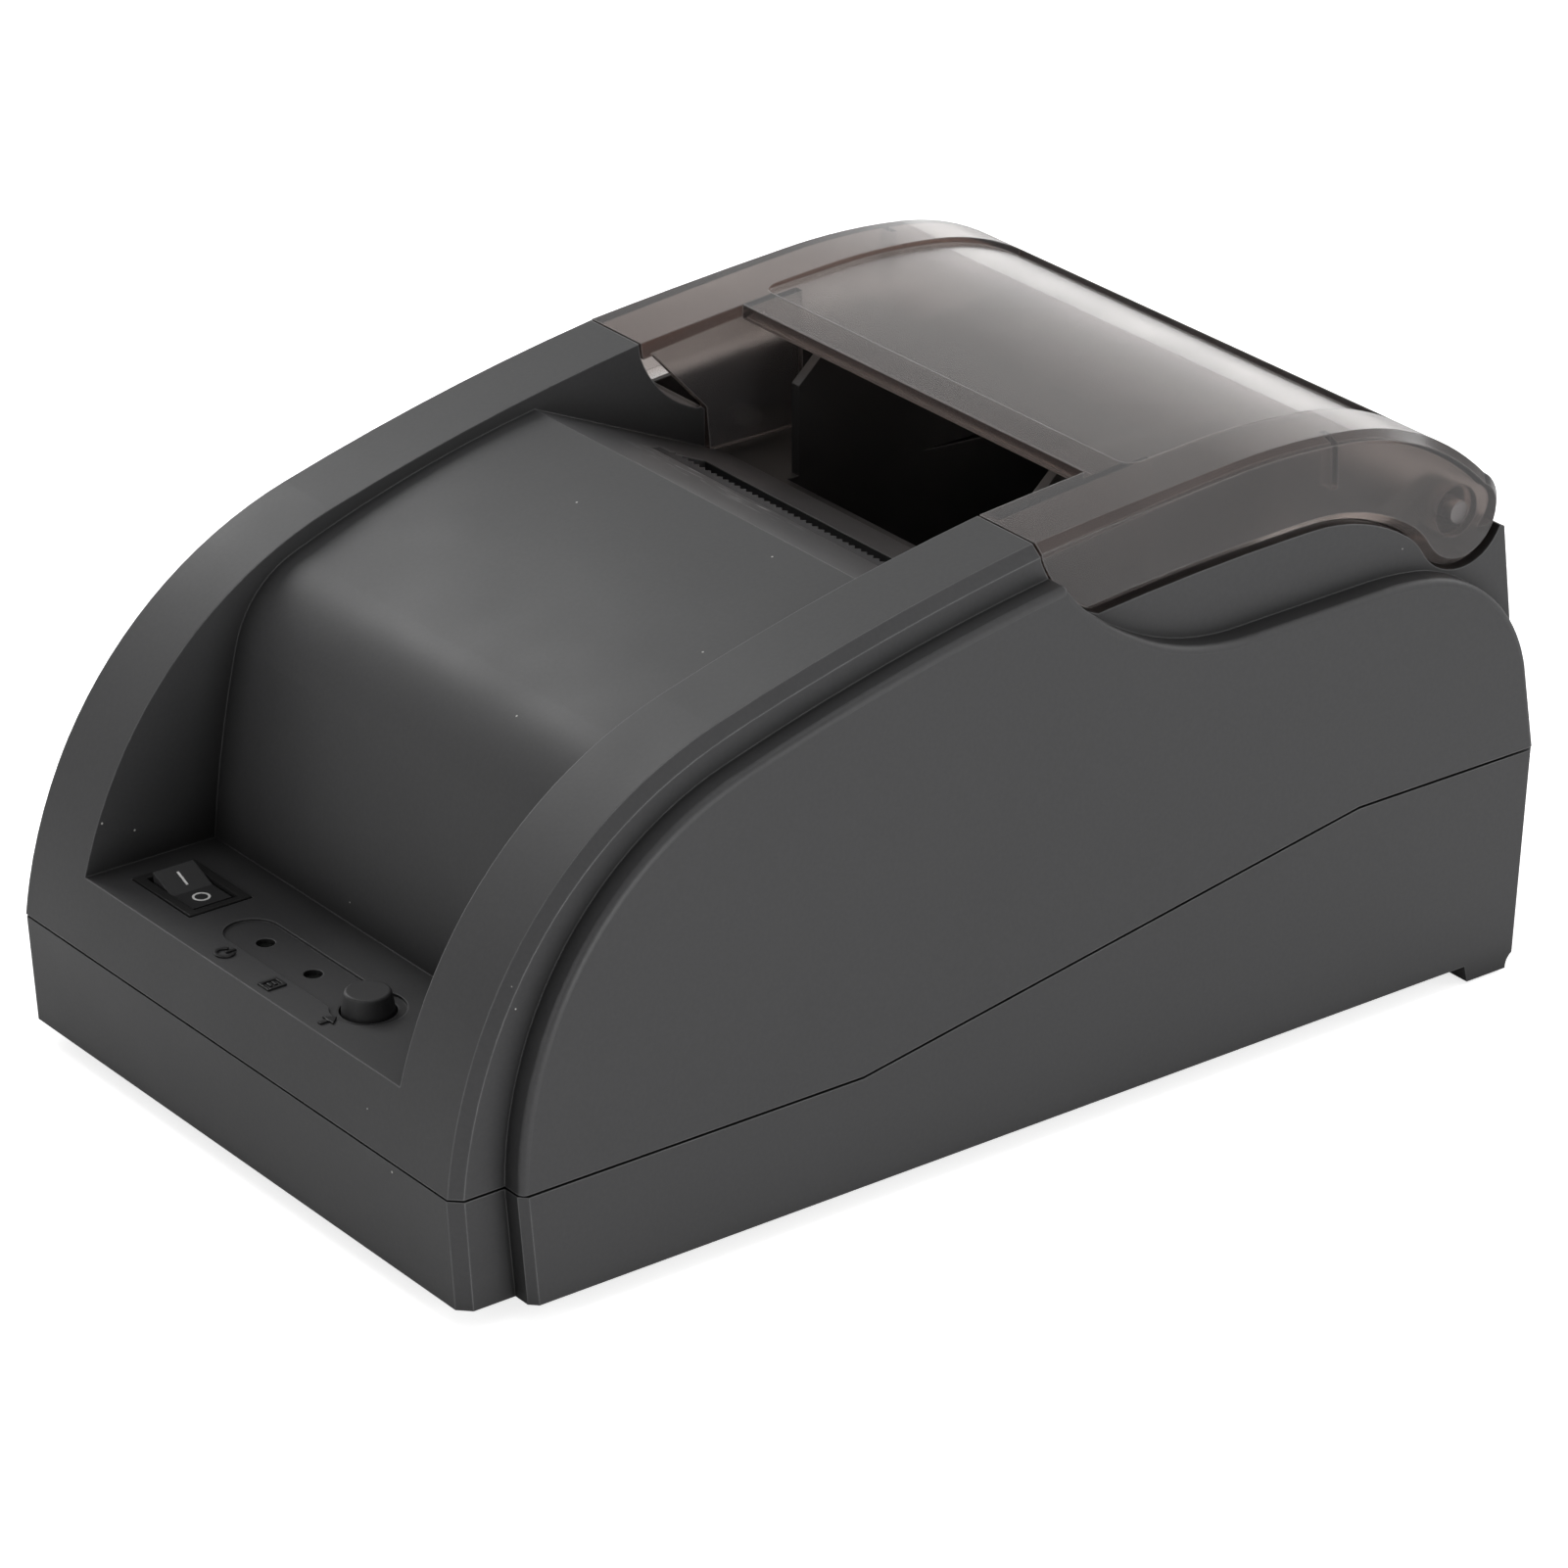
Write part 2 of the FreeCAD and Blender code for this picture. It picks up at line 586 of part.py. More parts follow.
def lower_case():
    """Base pan with the deeper rear edge that stands on the rear feet."""
    wall, floor = S["wall"], S["case_bottom"]
    front = [(S["front_y"] + 1.2, floor), (S["front_y"], S["part_low"])]
    rear = [(S["rear_y"], S["part_high"]), (S["rear_y"] - 2.0, floor)]
    top = [(S["front_y"], 60), (S["rear_y"], 60)]
    pan = across(front + top + rear, S["side_half"] - 0.05)

    def front_edge(edge):
        box_ = edge.BoundBox
        return box_.XLength < 0.01 and box_.ZLength > 5 and middle(edge).y < -100

    pan = dress("Chamfer", pan, front_edge, 2.0)
    cheek = across([
        (S["cheek_front_y"] + 1.6, floor), (S["cheek_front_y"], S["part_low"]),
        (S["cheek_front_y"], 60), (S["rear_y"], 60), (S["rear_y"], S["part_high"]),
        (S["rear_y"] - 2.0, floor), (S["rear_y"] - 4.7, 0.5, -2.9),
        (S["rear_y"] - 13.2, 0.5), (S["rear_y"] - 13.9, floor),
    ], S["cheek_half"])

    def corner_edge(edge):
        box_ = edge.BoundBox
        outer = abs(abs(middle(edge).x) - S["cheek_half"].value) < 0.01
        return outer and box_.ZLength > 15 and box_.YLength < 4

    cheek = lean_in(dress("Chamfer", cheek, corner_edge, 1.3), S["cheek_half"])
    pan = cut(fuse(pan, cheek), cut(across([
        (S["front_y"] - 30, -30), (S["rear_y"] + 30, -30),
        (S["rear_y"] + 30, 80), (S["front_y"] - 30, 80)], 80),
        across(below_parting(-S["part_gap"] / 2), 85)))
    room = box(-S["side_half"] + wall, S["side_half"] - wall, S["front_y"] + 3.4,
               S["rear_y"] - 4.2, floor + wall, 70)
    side_room = box(-S["cheek_half"] + wall, S["cheek_half"] - wall, S["cheek_front_y"] + 5,
                    S["rear_y"] - 4.2, floor + wall, 70)
    pan = cut(pan, room, side_room)
    posts = []
    for y in (S["post_front_y"], S["post_rear_y"]):
        for x in (S["post_x"], -S["post_x"]):
            posts.append(rod("z", x, y, floor + 0.5, 4.6, S["part_low"] - floor - 0.5))
    for x in (S["board_half"] - 4, -S["board_half"] + 4):
        for y in (S["board_front_y"] + 4, S["board_back_y"] - 20):
            posts.append(rod("z", x, y, floor + 0.5, 3.2, S["board_z"] - floor - 0.5))
    pan = fuse(pan, *posts)
    tools = []
    for y in (S["post_front_y"], S["post_rear_y"]):
        for x in (S["post_x"], -S["post_x"]):
            tools.append(rod("z", x, y, 0, S["screw_rad"] + 0.2, S["part_low"] + 2))
            tools.append(rod("z", x, y, 0, 3.4, 10.2))
    for x in (S["board_half"] - 4, -S["board_half"] + 4):
        for y in (S["board_front_y"] + 4, S["board_back_y"] - 20):
            tools.append(rod("z", x, y, floor + 1.6, 1.05, 12))
    for x in (S["foot_x"], -S["foot_x"]):
        tools.append(rod("z", x, S["foot_front_y"], 0, S["foot_rad"] + 0.05, floor + 0.6))
        tools.append(rod("z", x, S["foot_rear_y"], 0, 3.05, 1.3))
    low, high = S["board_z"] + S["board_thick"] - 0.3, S["board_z"] + S["board_thick"]
    y0, y1 = S["rear_y"] - 6, S["rear_y"] + 2
    tools.append(box(S["usb_x"] - 6.3, S["usb_x"] + 6.3, y0, y1, low, high + 11.2))
    tools.append(box(S["drawer_x"] - 6.8, S["drawer_x"] + 6.8, y0, y1, low, high + 13.4))
    tools.append(box(S["power_x"] - 5.0, S["power_x"] + 5.0, y0, y1, low, high + 11.4))
    return node("lower_case", cut(pan, *tools))


def feet_and_case_screws():
    """Two rubber feet in front, two pads under the rear edge, and the four case screws."""
    for side, x in (("left", -S["foot_x"]), ("right", S["foot_x"])):
        front = cone("z", x, S["foot_front_y"], 0, S["foot_rad"] - 0.6, S["foot_rad"], 1.2)
        body = rod("z", x, S["foot_front_y"], 1.2, S["foot_rad"], S["case_bottom"] - 0.6)
        node("front_foot_" + side, fuse(front, body))
        rear = cone("z", x, S["foot_rear_y"], 0, 2.7, 3.0, 0.4)
        stem = rod("z", x, S["foot_rear_y"], 0.4, 3.0, 0.9)
        node("rear_foot_" + side, fuse(rear, stem))
    screws = []
    for y in (S["post_front_y"], S["post_rear_y"]):
        for x in (-S["post_x"], S["post_x"]):
            head = cut(rod("z", x, y, 8.0, 2.8, 2.2), slot_cross(x, y, 7.5, 1.7))
            screws.append(fuse(head, rod("z", x, y, 10.2, S["screw_rad"] - 0.1, 20)))
    node("case_screws", group(*screws))


def slot_cross(x, y, z, high):
    """The cross recess of a screw head."""
    one = box(Dim.of(x) - 1.4, Dim.of(x) + 1.4, Dim.of(y) - 0.3, Dim.of(y) + 0.3, z, Dim.of(z) + high)
    two = box(Dim.of(x) - 0.3, Dim.of(x) + 0.3, Dim.of(y) - 1.4, Dim.of(y) + 1.4, z, Dim.of(z) + high)
    return fuse(one, two)


def tear_bar():
    """Thin steel strip with fine teeth along the front edge of the paper slot."""
    y0, y1 = S["slot_front_y"] - 2.2, S["slot_front_y"]
    z0 = tear_height()
    body = box(-S["slot_half"] - 2, S["slot_half"] + 2, y0, y1, z0, z0 + 0.9)
    pitch = 1.6
    count = int(2 * (S["slot_half"].value - 0.8) / pitch)
    teeth = []
    for i in range(count):
        x = -count * pitch / 2 + i * pitch
        tooth = outline([(x, y1 - 0.01), (x + pitch - 0.1, y1 - 0.01), (x + pitch / 2 - 0.05, y1 + 0.7)])
        teeth.append(push(tooth, "z", z0 + 0.3, z0 + 0.9))
    return node("tear_bar", fuse(body, *teeth))


# ---------------------------------------------------------------- cover
def ear_inside():
    """Half the width between the insides of the cover's ears, at the hinge."""
    return half_at(S["side_half"] - 0.1 - S["cover_wall"], S["hinge_z"])


def paper_cover():
    """Smoked cover: crowned lid with two side arms, a notch over the slot and two hinge ears."""
    wall = S["cover_wall"]
    half = S["side_half"] - 0.1
    body = lean_in(across(cover_line(), half), half)

    def crown_edge(edge):
        spot = middle(edge)
        outer = on_side(edge, half)
        over = spot.z > S["wave_a_z"].value + 4 or spot.y > S["hinge_y"].value + 5
        long_ = edge.BoundBox.YLength > 3
        return outer and over and long_ and spot.z > S["hinge_z"].value - 1

    body = dress("Chamfer", body, crown_edge, 1.5)
    under = [
        (S["seam_y"] - 8, S["seam_z"] - wall - 1.9),
        (S["crest_a_y"], S["crest_a_z"] - wall, S["crest_a_rad"] - wall),
        (S["crest_b_y"] - 0.3, S["crest_b_z"] - wall, S["crest_b_rad"] - wall),
        (S["crest_c_y"] - 1.6, S["crest_c_z"] - 1.5, S["crest_c_rad"] - wall),
        (S["hinge_y"] + S["ear_rad"] - wall, S["hinge_z"], S["tail_rad"] - wall),
        (S["hinge_y"] + S["ear_rad"] - wall - 2.4, S["rear_top_z"] + 0.6, S["ear_rad"] - wall),
        (S["hinge_y"] + 10, S["rear_top_z"] + 0.6),
        (S["hinge_y"] + 10, S["deck_z"] - 12),
        (S["seam_y"] - 8, S["deck_z"] - 12),
    ]
    body = cut(body, lean_in(across(under, half - wall), half - wall))
    body = cut(body, box(-S["band_half"], S["band_half"], S["seam_y"] - 9, S["notch_y"],
                         S["deck_z"] - 12, S["seam_z"] + 20))
    # shallow panel pressed into the crown
    inset_floor = [
        (S["bar_y"], S["crest_a_z"] - S["inset_deep"] - 0.71),
        (S["crest_a_y"], S["crest_a_z"] - S["inset_deep"], S["crest_a_rad"] - 1.0),
        (S["crest_b_y"], S["crest_b_z"] - S["inset_deep"], S["crest_b_rad"] - 1.0),
        (S["inset_back_y"], 95.4, S["crest_c_rad"] - 1.0),
        (S["inset_back_y"] + 2, 110), (S["bar_y"], 110),
    ]
    inset = across(inset_floor, S["inset_half"])

    def inset_corner(edge):
        box_ = edge.BoundBox
        upright = box_.ZLength > 3 and box_.XLength < 0.01 and box_.YLength < 0.01
        return upright and middle(edge).y < S["bar_y"].value + 0.1

    body = cut(body, dress("Fillet", inset, inset_corner, S["inset_round"].value))
    # lip under the front bar
    lip = box(-S["band_half"], S["band_half"], S["notch_y"], S["notch_y"] + 1.8,
              S["crest_a_z"] - 4.0, S["crest_a_z"] - 1.4)
    # inner skirts along the notch
    skirt_line = [
        (S["seam_y"] + 1.6, S["seam_z"] - 1.6), (S["seam_y"] + 13.45, S["hem_z"] - 0.75),
        (S["seam_y"] + 14.2, S["deck_z"] + 1.4), (S["skirt_back_y"], S["deck_z"] + 1.4),
        (S["skirt_back_y"], S["crest_a_z"] - wall + 0.3), (S["notch_y"], S["crest_a_z"] - 1.6),
    ]
    skirt = push(outline(skirt_line), "x", S["band_half"], S["band_half"] + 1.8)
    # stiffening ribs and hinge bosses on the inside of each side
    inner = half_at(half - wall, S["crest_b_z"] - 4)
    rib = box(inner - 2.5, inner + 0.3, 66.2, 67.6, S["wave_a_z"] + 5, S["crest_b_z"] - 1.6)
    inner = ear_inside()
    boss = rod("x", inner - 2.6, S["hinge_y"], S["hinge_z"], 4.4, 2.85)
    half_parts = [skirt, rib, boss]
    everything = [body, lip] + half_parts + [mirror_x(part) for part in half_parts]
    body = fuse(*everything)
    bore = rod("x", inner - 6, S["hinge_y"], S["hinge_z"], S["hinge_pin_rad"] + S["run_gap"], 7.4)
    return node("paper_cover", cut(body, bore, mirror_x(bore)))


def hinge_pins():
    """Pins that stand on brackets of the bucket and carry the cover."""
    inner = ear_inside()
    for side in ("left", "right"):
        pin = rod("x", inner - 7.5, S["hinge_y"], S["hinge_z"], S["hinge_pin_rad"], 8.4)
        node("hinge_pin_" + side, pin if side == "right" else mirror_x(pin))


# ---------------------------------------------------------------- paper bucket
def paper_bucket():
    """Black tray with a round-bottomed well for the roll, a deck and the hinge brackets."""
    skin, rad = S["skin"], S["bucket_rad"]
    y0, y1 = S["bucket_front_y"], S["bucket_front_y"] + 2 * rad
    top = S["deck_z"]
    outer = across([
        (y0 - skin, top), (y0 - skin, S["bucket_mid_z"]),
        (y0 + rad, S["bucket_mid_z"] - rad - skin, -(rad + skin)),
        (y1 + skin, S["bucket_mid_z"], -(rad + skin)), (y1 + skin, top - 4),
    ], S["bucket_half"] + skin)
    deck_half = half_at(S["side_half"] - S["wall"], top) - 0.3
    deck = across([
        (y0 - skin, top), (y0 - skin, top - skin),
        (S["hinge_y"] - 12.2, top - skin), (S["hinge_y"] - 8.2, top - skin - 4),
        (S["rear_top_y"] - S["wall"] - 0.7, top - skin - 4),
        (S["rear_top_y"] - S["wall"] - 0.7, top - 4), (S["hinge_y"] - 7.4, top - 4),
        (S["hinge_y"] - 11.4, top),
    ], deck_half)
    # two tongues beside the ledge
    tongue = box(S["band_half"] + 0.3, deck_half, S["seam_y"] + 13.4, y0 - skin + 0.1,
                 top - skin, top)
    inside = across([
        (y0, top + 5), (y0, S["bucket_mid_z"]),
        (y0 + rad, S["bucket_mid_z"] - rad, -rad), (y1, S["bucket_mid_z"], -rad), (y1, top + 5),
    ], S["bucket_half"])
    feed = box(-29.5, 29.5, y0 - skin - 1, y0 + 1, 50, 57)
    # upright guides beside the roll, under the crown of the cover
    guide_top = S["guide_top_z"]
    guide = push(outline([
        (S["notch_y"] + 0.5, top - 1), (S["notch_y"] + 0.5, guide_top - 5), (S["notch_y"] + 6, guide_top),
        (y1 - 13, guide_top), (y1 - 6, guide_top - 7), (y1 - 6, top - 1),
    ]), "x", S["bucket_half"], S["bucket_half"] + skin)
    body = cut(fuse(outer, deck, tongue, mirror_x(tongue), guide, mirror_x(guide)), inside, feed)
    # arms that carry the hinge pins reach back from the deck, clear of the cover's tail
    x0 = ear_inside() - 7.4
    hy, hz = S["hinge_y"], S["hinge_z"]
    arm = push(outline([
        (hy - 19, top - 0.5), (hy - 13, hz - 0.5), (hy - 1.2, hz + 4.02), (hy - 3.9, hz - 1.6),
        (hy - 8.2, hz - 5.4), (hy - 11.6, top - 0.5)]), "x", x0, x0 + 3.6)
    eye = rod("x", x0, hy, hz, 4.2, 3.6)
    arm = cut(fuse(arm, eye), rod("x", x0 - 1, hy, hz, S["hinge_pin_rad"], 6))
    body = fuse(body, arm, mirror_x(arm))
    screws = []
    for x in (-S["bucket_screw_x"], S["bucket_screw_x"]):
        for y in (S["bucket_screw_y"], S["bucket_screw_y"] + 30):
            body = cut(body, rod("z", x, y, top - 4, 1.25, 6))
            head = cut(rod("z", x, y, top, 2.4, 1.4), slot_cross(x, y, top + 0.4, 1.2))
            screws.append(fuse(head, rod("z", x, y, top - 6, 1.0, 6)))
    node("bucket_screws", group(*screws))
    return node("paper_bucket", body)


# ---------------------------------------------------------------- print mechanism
def gear(x, y, z, teeth, phase, bore, wide):
    """A spur gear on an axis along +x; phase is the direction of one tooth, in degrees."""
    module = S["gear_module"].value
    pitch_rad = module * teeth / 2
    step = 2 * math.pi / teeth
    blank = rod("x", x, y, z, pitch_rad - 1.2 * module, wide)
    # radius and half angle of a tooth at its root, at the pitch circle and at its tip
    shape = [
        (pitch_rad - 1.25 * module, 0.27 * step),
        (pitch_rad, 0.21 * step),
        (pitch_rad + 0.9 * module, 0.1 * step),
    ]
    tooth = [(r * math.cos(-a), r * math.sin(-a)) for r, a in shape]
    tooth += [(r * math.cos(a), r * math.sin(a)) for r, a in reversed(shape)]
    wheel = doc.addObject("Part::Extrusion", "Tooth")
    sketch = outline(tooth)
    sketch.Placement = FreeCAD.Placement(V(0, 0, 0), SIDE)
    wheel.Base = sketch
    wheel.DirMode = "Custom"
    wheel.Dir = X_AXIS
    wheel.Solid = True
    bind(wheel, "LengthFwd", wide)
    ring = []
    for i in range(teeth):
        link = doc.addObject("App::Link", "ToothCopy")
        link.LinkedObject = wheel
        spin = FreeCAD.Rotation(X_AXIS, phase + i * 360.0 / teeth)
        at = [Dim.of(v) for v in (x, y, z)]
        link.Placement = FreeCAD.Placement(V(*[a.value for a in at]), spin)
        for letter, size in zip("xyz", at):
            bind(link, ".Placement.Base.%s" % letter, size)
        ring.append(link)
    body = fuse(blank, *ring)
    return cut(body, rod("x", Dim.of(x) - 1, y, z, bore, Dim.of(wide) + 2))


def mechanism():
    """Frame, platen, head, gears and motor of the 58 mm print mechanism."""
    y, z, half, plate = S["platen_y"], S["platen_z"], S["frame_half"], S["plate"]
    side = [
        (y + 9, z - 22), (y + 9, z + 3), (y + 5, z + 10.5), (y - 8, z + 14.1),
        (y - 30, z + 14.1), (S["motor_y"] - 9, z + 10),
        (S["motor_y"] - 12, z - 10), (S["motor_y"] - 6, z - 22),
    ]
    cheek = push(outline(side), "x", half - plate, half)
    idler_hole = rod("x", half - 4, S["idler_y"], S["idler_z"], 2.0, 8)
    motor_hole = rod("x", half - 4, S["motor_y"], S["motor_z"], 3.2, 8)
    bush_hole = rod("x", half - 4, y, z, 4.0, 8)
    right = cut(cheek, idler_hole, motor_hole, bush_hole)
    left = cut(mirror_x(push(outline(side), "x", half - plate, half)), mirror_x(bush_hole))
    face = y - S["platen_rad"] - 0.3
    floor = box(-half, half, S["motor_y"] + 6, y + 9, z - 22, z - 22 + plate)
    floor = cut(floor, box(-12, 12, face - 1.8, face + 0.8, z - 23, z - 18))
    stop = box(-15, 15, face - 18.7, face - 17.2, z - 22, z + 5)
    lug = box(S["mech_screw_x"] - 4.5, half, y - 30, y - 22, z + 12.6, z + 14.1)
    lug = cut(lug, rod("z", S["mech_screw_x"], y - 26, z + 12, S["screw_rad"] + 0.15, 3))
    node("mech_frame", fuse(right, left, floor, stop, lug, mirror_x(lug)))
    screws = []
    for x in (-S["mech_screw_x"], S["mech_screw_x"]):
        head = cut(rod("z", x, y - 26, z + 10.9, 2.6, 1.7), slot_cross(x, y - 26, z + 10.5, 1.3))
        screws.append(fuse(head, rod("z", x, y - 26, z + 12.6, S["screw_rad"] - 0.2, 7.5)))
    node("mech_screws", group(*screws))

    # platen
    reach = half + plate + S["gear_wide"] + 0.8
    shaft = rod("x", -half - 2.5, y, z, S["shaft_rad"], reach + half + 2.5)
    node("platen_shaft", shaft)
    sleeve = rod("x", -S["platen_half"], y, z, S["platen_rad"], S["platen_half"] * 2)
    node("platen_roller", cut(sleeve, rod("x", -40, y, z, S["shaft_rad"], 80)))
    for name in ("left", "right"):
        flange = rod("x", half - plate - 1.2, y, z, 5.0, 1.2)
        barrel = rod("x", half - plate - 0.01, y, z, 4.0, plate + 0.01)
        bush = cut(fuse(flange, barrel), rod("x", 30, y, z, S["shaft_rad"] + S["run_gap"], 12))
        node("platen_bush_" + name, bush if name == "right" else mirror_x(bush))

    # thermal head on its heat sink, pressed back by two springs
    node("thermal_head", box(-30, 30, face - 1.0, face, z - 9, z + 8))
    sink = box(-31.5, 31.5, face - 3.6, face - 1.0, z - 12, z + 9)
    fin_step = 61.2 / 7
    fins = []
    for i in range(8):
        x = -31.5 + i * fin_step
        fins.append(box(x, x + 1.8, face - 5.2, face - 3.59, z - 12, z + 9))
    tabs = [box(31.4, half - plate, face - 3.6, face - 1.6, z - 3, z + 3),
            mirror_x(box(31.4, half - plate, face - 3.6, face - 1.6, z - 3, z + 3))]
    node("heat_sink", fuse(sink, *fins, *tabs))
    springs = []
    for x in (-fin_step, fin_step):
        coils = []
        for i in range(7):
            ring = doc.addObject("Part::Torus", "Coil")
            bind(ring, "Radius1", 2.2)
            bind(ring, "Radius2", 0.55)
            place(ring, x, face - 4.3 - i * 2.05, z, X_AXIS, 90)
            coils.append(ring)
        core = rod("y", x, face - 17.2, z, 1.75, 13.5)
        springs.append(fuse(core, *coils))
    node("head_springs", group(*springs))

    # gears: platen gear, idler on a stub axle, motor pinion
    gx = S["gear_x"]
    numbers = {"platen": 24, "idler": 30, "motor": 12}
    dy, dz = S["idler_y"].value - y.value, S["idler_z"].value - z.value
    toward_idler = math.degrees(math.atan2(dz, dy))
    my, mz = S["motor_y"].value - S["idler_y"].value, S["motor_z"].value - S["idler_z"].value
    toward_motor = math.degrees(math.atan2(mz, my))
    idler_phase = toward_idler + 180 + 180.0 / numbers["idler"]
    lead = (toward_motor - idler_phase) % (360.0 / numbers["idler"])
    motor_phase = toward_motor + 180 + lead * numbers["idler"] / numbers["motor"]
    motor_phase += 180.0 / numbers["motor"]
    node("platen_gear", gear(gx, y, z, numbers["platen"], toward_idler, S["shaft_rad"], S["gear_wide"]))
    node("idler_gear", gear(gx, S["idler_y"], S["idler_z"], numbers["idler"], idler_phase,
                            2.0 + S["run_gap"], S["gear_wide"]))
    node("motor_pinion", gear(gx, S["motor_y"], S["motor_z"], numbers["motor"], motor_phase,
                              1.0, S["gear_wide"]))
    axle = rod("x", half - plate, S["idler_y"], S["idler_z"], 2.0, 7.2)
    rim = rod("x", gx + S["gear_wide"] + 0.2, S["idler_y"], S["idler_z"], 2.8, 0.8)
    node("idler_axle", fuse(axle, rim))
    long_ = S["motor_long"]
    can = rod("x", half - plate - long_, S["motor_y"], S["motor_z"], S["motor_rad"], long_)
    tip = rod("x", half - plate - 0.01, S["motor_y"], S["motor_z"], 3.1, plate + 0.3)
    block = box(half - plate - long_, half - plate - long_ + 6, S["motor_y"] - 5,
                S["motor_y"] + 5, S["motor_z"] - S["motor_rad"] - 1.6, S["motor_z"])
    motor = cut(fuse(can, tip, block), rod("x", half - 12, S["motor_y"], S["motor_z"],
                                           1.0 + S["run_gap"], 16))
    node("stepper_motor", motor)
    node("motor_shaft", rod("x", half - 11, S["motor_y"], S["motor_z"], 1.0,
                            gx + S["gear_wide"] - half + 11))
    low = z - 22 + plate
    sensor = fuse(box(-5, 5, y + 3, y + 9, low, low + 4.4), box(-5, 5, y + 7, y + 9, low + 4.3, low + 8.5))
    node("paper_sensor", sensor)


# ---------------------------------------------------------------- operator panel
def operator_panel():
    """Rocker switch, feed button, lamps and the small board under the control shelf."""
    cy, top = S["control_y"], S["shelf_z"]
    board_top = S["panel_board_z"] + S["board_thick"]
    board = box(-22, 27, cy - 8, cy + 9, S["panel_board_z"], board_top)
    screws = []
    for x in (S["panel_screw_a_x"], S["panel_screw_b_x"]):
        board = cut(board, rod("z", x, cy + 5.8, S["panel_board_z"] - 1, 1.15, 4))
        head = cut(rod("z", x, cy + 5.8, S["panel_board_z"] - 1.3, 2.1, 1.3),
                   slot_cross(x, cy + 5.8, S["panel_board_z"] - 1.8, 1.2))
        screws.append(fuse(head, rod("z", x, cy + 5.8, S["panel_board_z"], 0.9, 6.0)))
    node("panel_board", board)
    node("panel_screws", group(*screws))
    for name in ("a", "b"):
        x = S["led_%s_x" % name]
        dome = rod("z", x, cy, board_top, S["led_rad"], top - 1.2 - board_top)
        base = rod("z", x, cy, board_top, S["led_rad"] + 0.4, 1.0)
        node({"a": "power_lamp", "b": "status_lamp"}[name], fuse(dome, base))
    x = S["button_x"]
    body = box(x - 3, x + 3, cy - 3, cy + 3, board_top, board_top + 3.5)
    node("tact_switch", cut(body, rod("z", x, cy, board_top + 1.0, 1.8, 5)))
    flange_low = top - S["wall"] - 0.95
    node("tact_plunger", rod("z", x, cy, board_top + 1.9, 1.7, flange_low - board_top - 1.9))
    flange = rod("z", x, cy, flange_low, S["button_rad"] + 1.1, 0.85)
    stem = rod("z", x, cy, flange_low + 0.84, S["button_rad"], top - flange_low - 0.84)
    cap = cone("z", x, cy, top - 0.01, S["button_rad"], S["button_top_rad"], S["button_high"])

    def rim(edge):
        return abs(middle(edge).z - top.value - S["button_high"].value) < 0.05

    cap = dress("Fillet", cap, rim, 0.5)
    node("feed_button", fuse(flange, stem, cap))

    rx, ry = S["rocker_x"], S["rocker_y"]
    flange = box(rx - 8.4, rx + 8.4, ry - 5.8, ry + 5.8, top - 0.7, top + 0.3)
    shell = box(rx - 7.6, rx + 7.6, ry - 4.85, ry + 4.85, top - 12.5, top - 0.69)
    room = box(rx - 7.1, rx + 7.1, ry - 4.15, ry + 4.15, top - 7.4, top + 2)
    pivot = rod("y", rx, ry - 4.7, S["rocker_pivot_z"], 1.05, 9.4)
    body = cut(fuse(flange, shell), room, pivot)
    node("rocker_body", body)
    blades = []
    for dx in (-5.0, 0.0, 5.0):
        blades.append(box(rx + dx - 0.4, rx + dx + 0.4, ry - 2.3, ry + 2.3, top - 19.5, top - 12.5))
    node("rocker_terminals", group(*blades))
    half, lean = S["rocker_half"], math.tan(math.radians(S["rocker_lean"].value))
    foot = S["rocker_pivot_z"] - 2.2
    face = S["rocker_pivot_z"] + 2.3
    cap_line = [
        (rx + half, face), (rx, face), (rx - half, face + half * lean),
        (rx - half + 1.1, foot + 1.6), (rx - 1.8, foot - 0.4), (rx + 1.8, foot - 0.4),
        (rx + half - 0.5, foot + 0.6),
    ]
    cap = push(outline([(px, pz) for px, pz in cap_line]), "y",
               ry - S["rocker_wide"], ry + S["rocker_wide"])
    trunnion = rod("y", rx, ry - 4.65, S["rocker_pivot_z"], 1.0, 9.3)
    node("rocker_cap", fuse(cap, trunnion))


def strip(points, thick, x0, x1):
    """A flat ribbon that follows a bent centre line in the (Y, Z) plane."""
    there = [(Dim.of(p[0]), Dim.of(p[1])) for p in points]
    sides = []
    for k in (0.5, -0.5):
        run = []
        for i, (u, v) in enumerate(there):
            before = there[max(i - 1, 0)]
            after = there[min(i + 1, len(there) - 1)]
            a = V(u.value - before[0].value, v.value - before[1].value, 0)
            b = V(after[0].value - u.value, after[1].value - v.value, 0)
            a = (a if a.Length else b).normalize()
            b = (b if b.Length else a).normalize()
            bis = (a + b).normalize()
            reach = k * thick / max(bis.dot(a), 0.3)
            run.append((u - bis.y * reach, v + bis.x * reach))
        sides.append(run)
    return push(outline(sides[0] + sides[1][::-1]), "x", x0, x1)


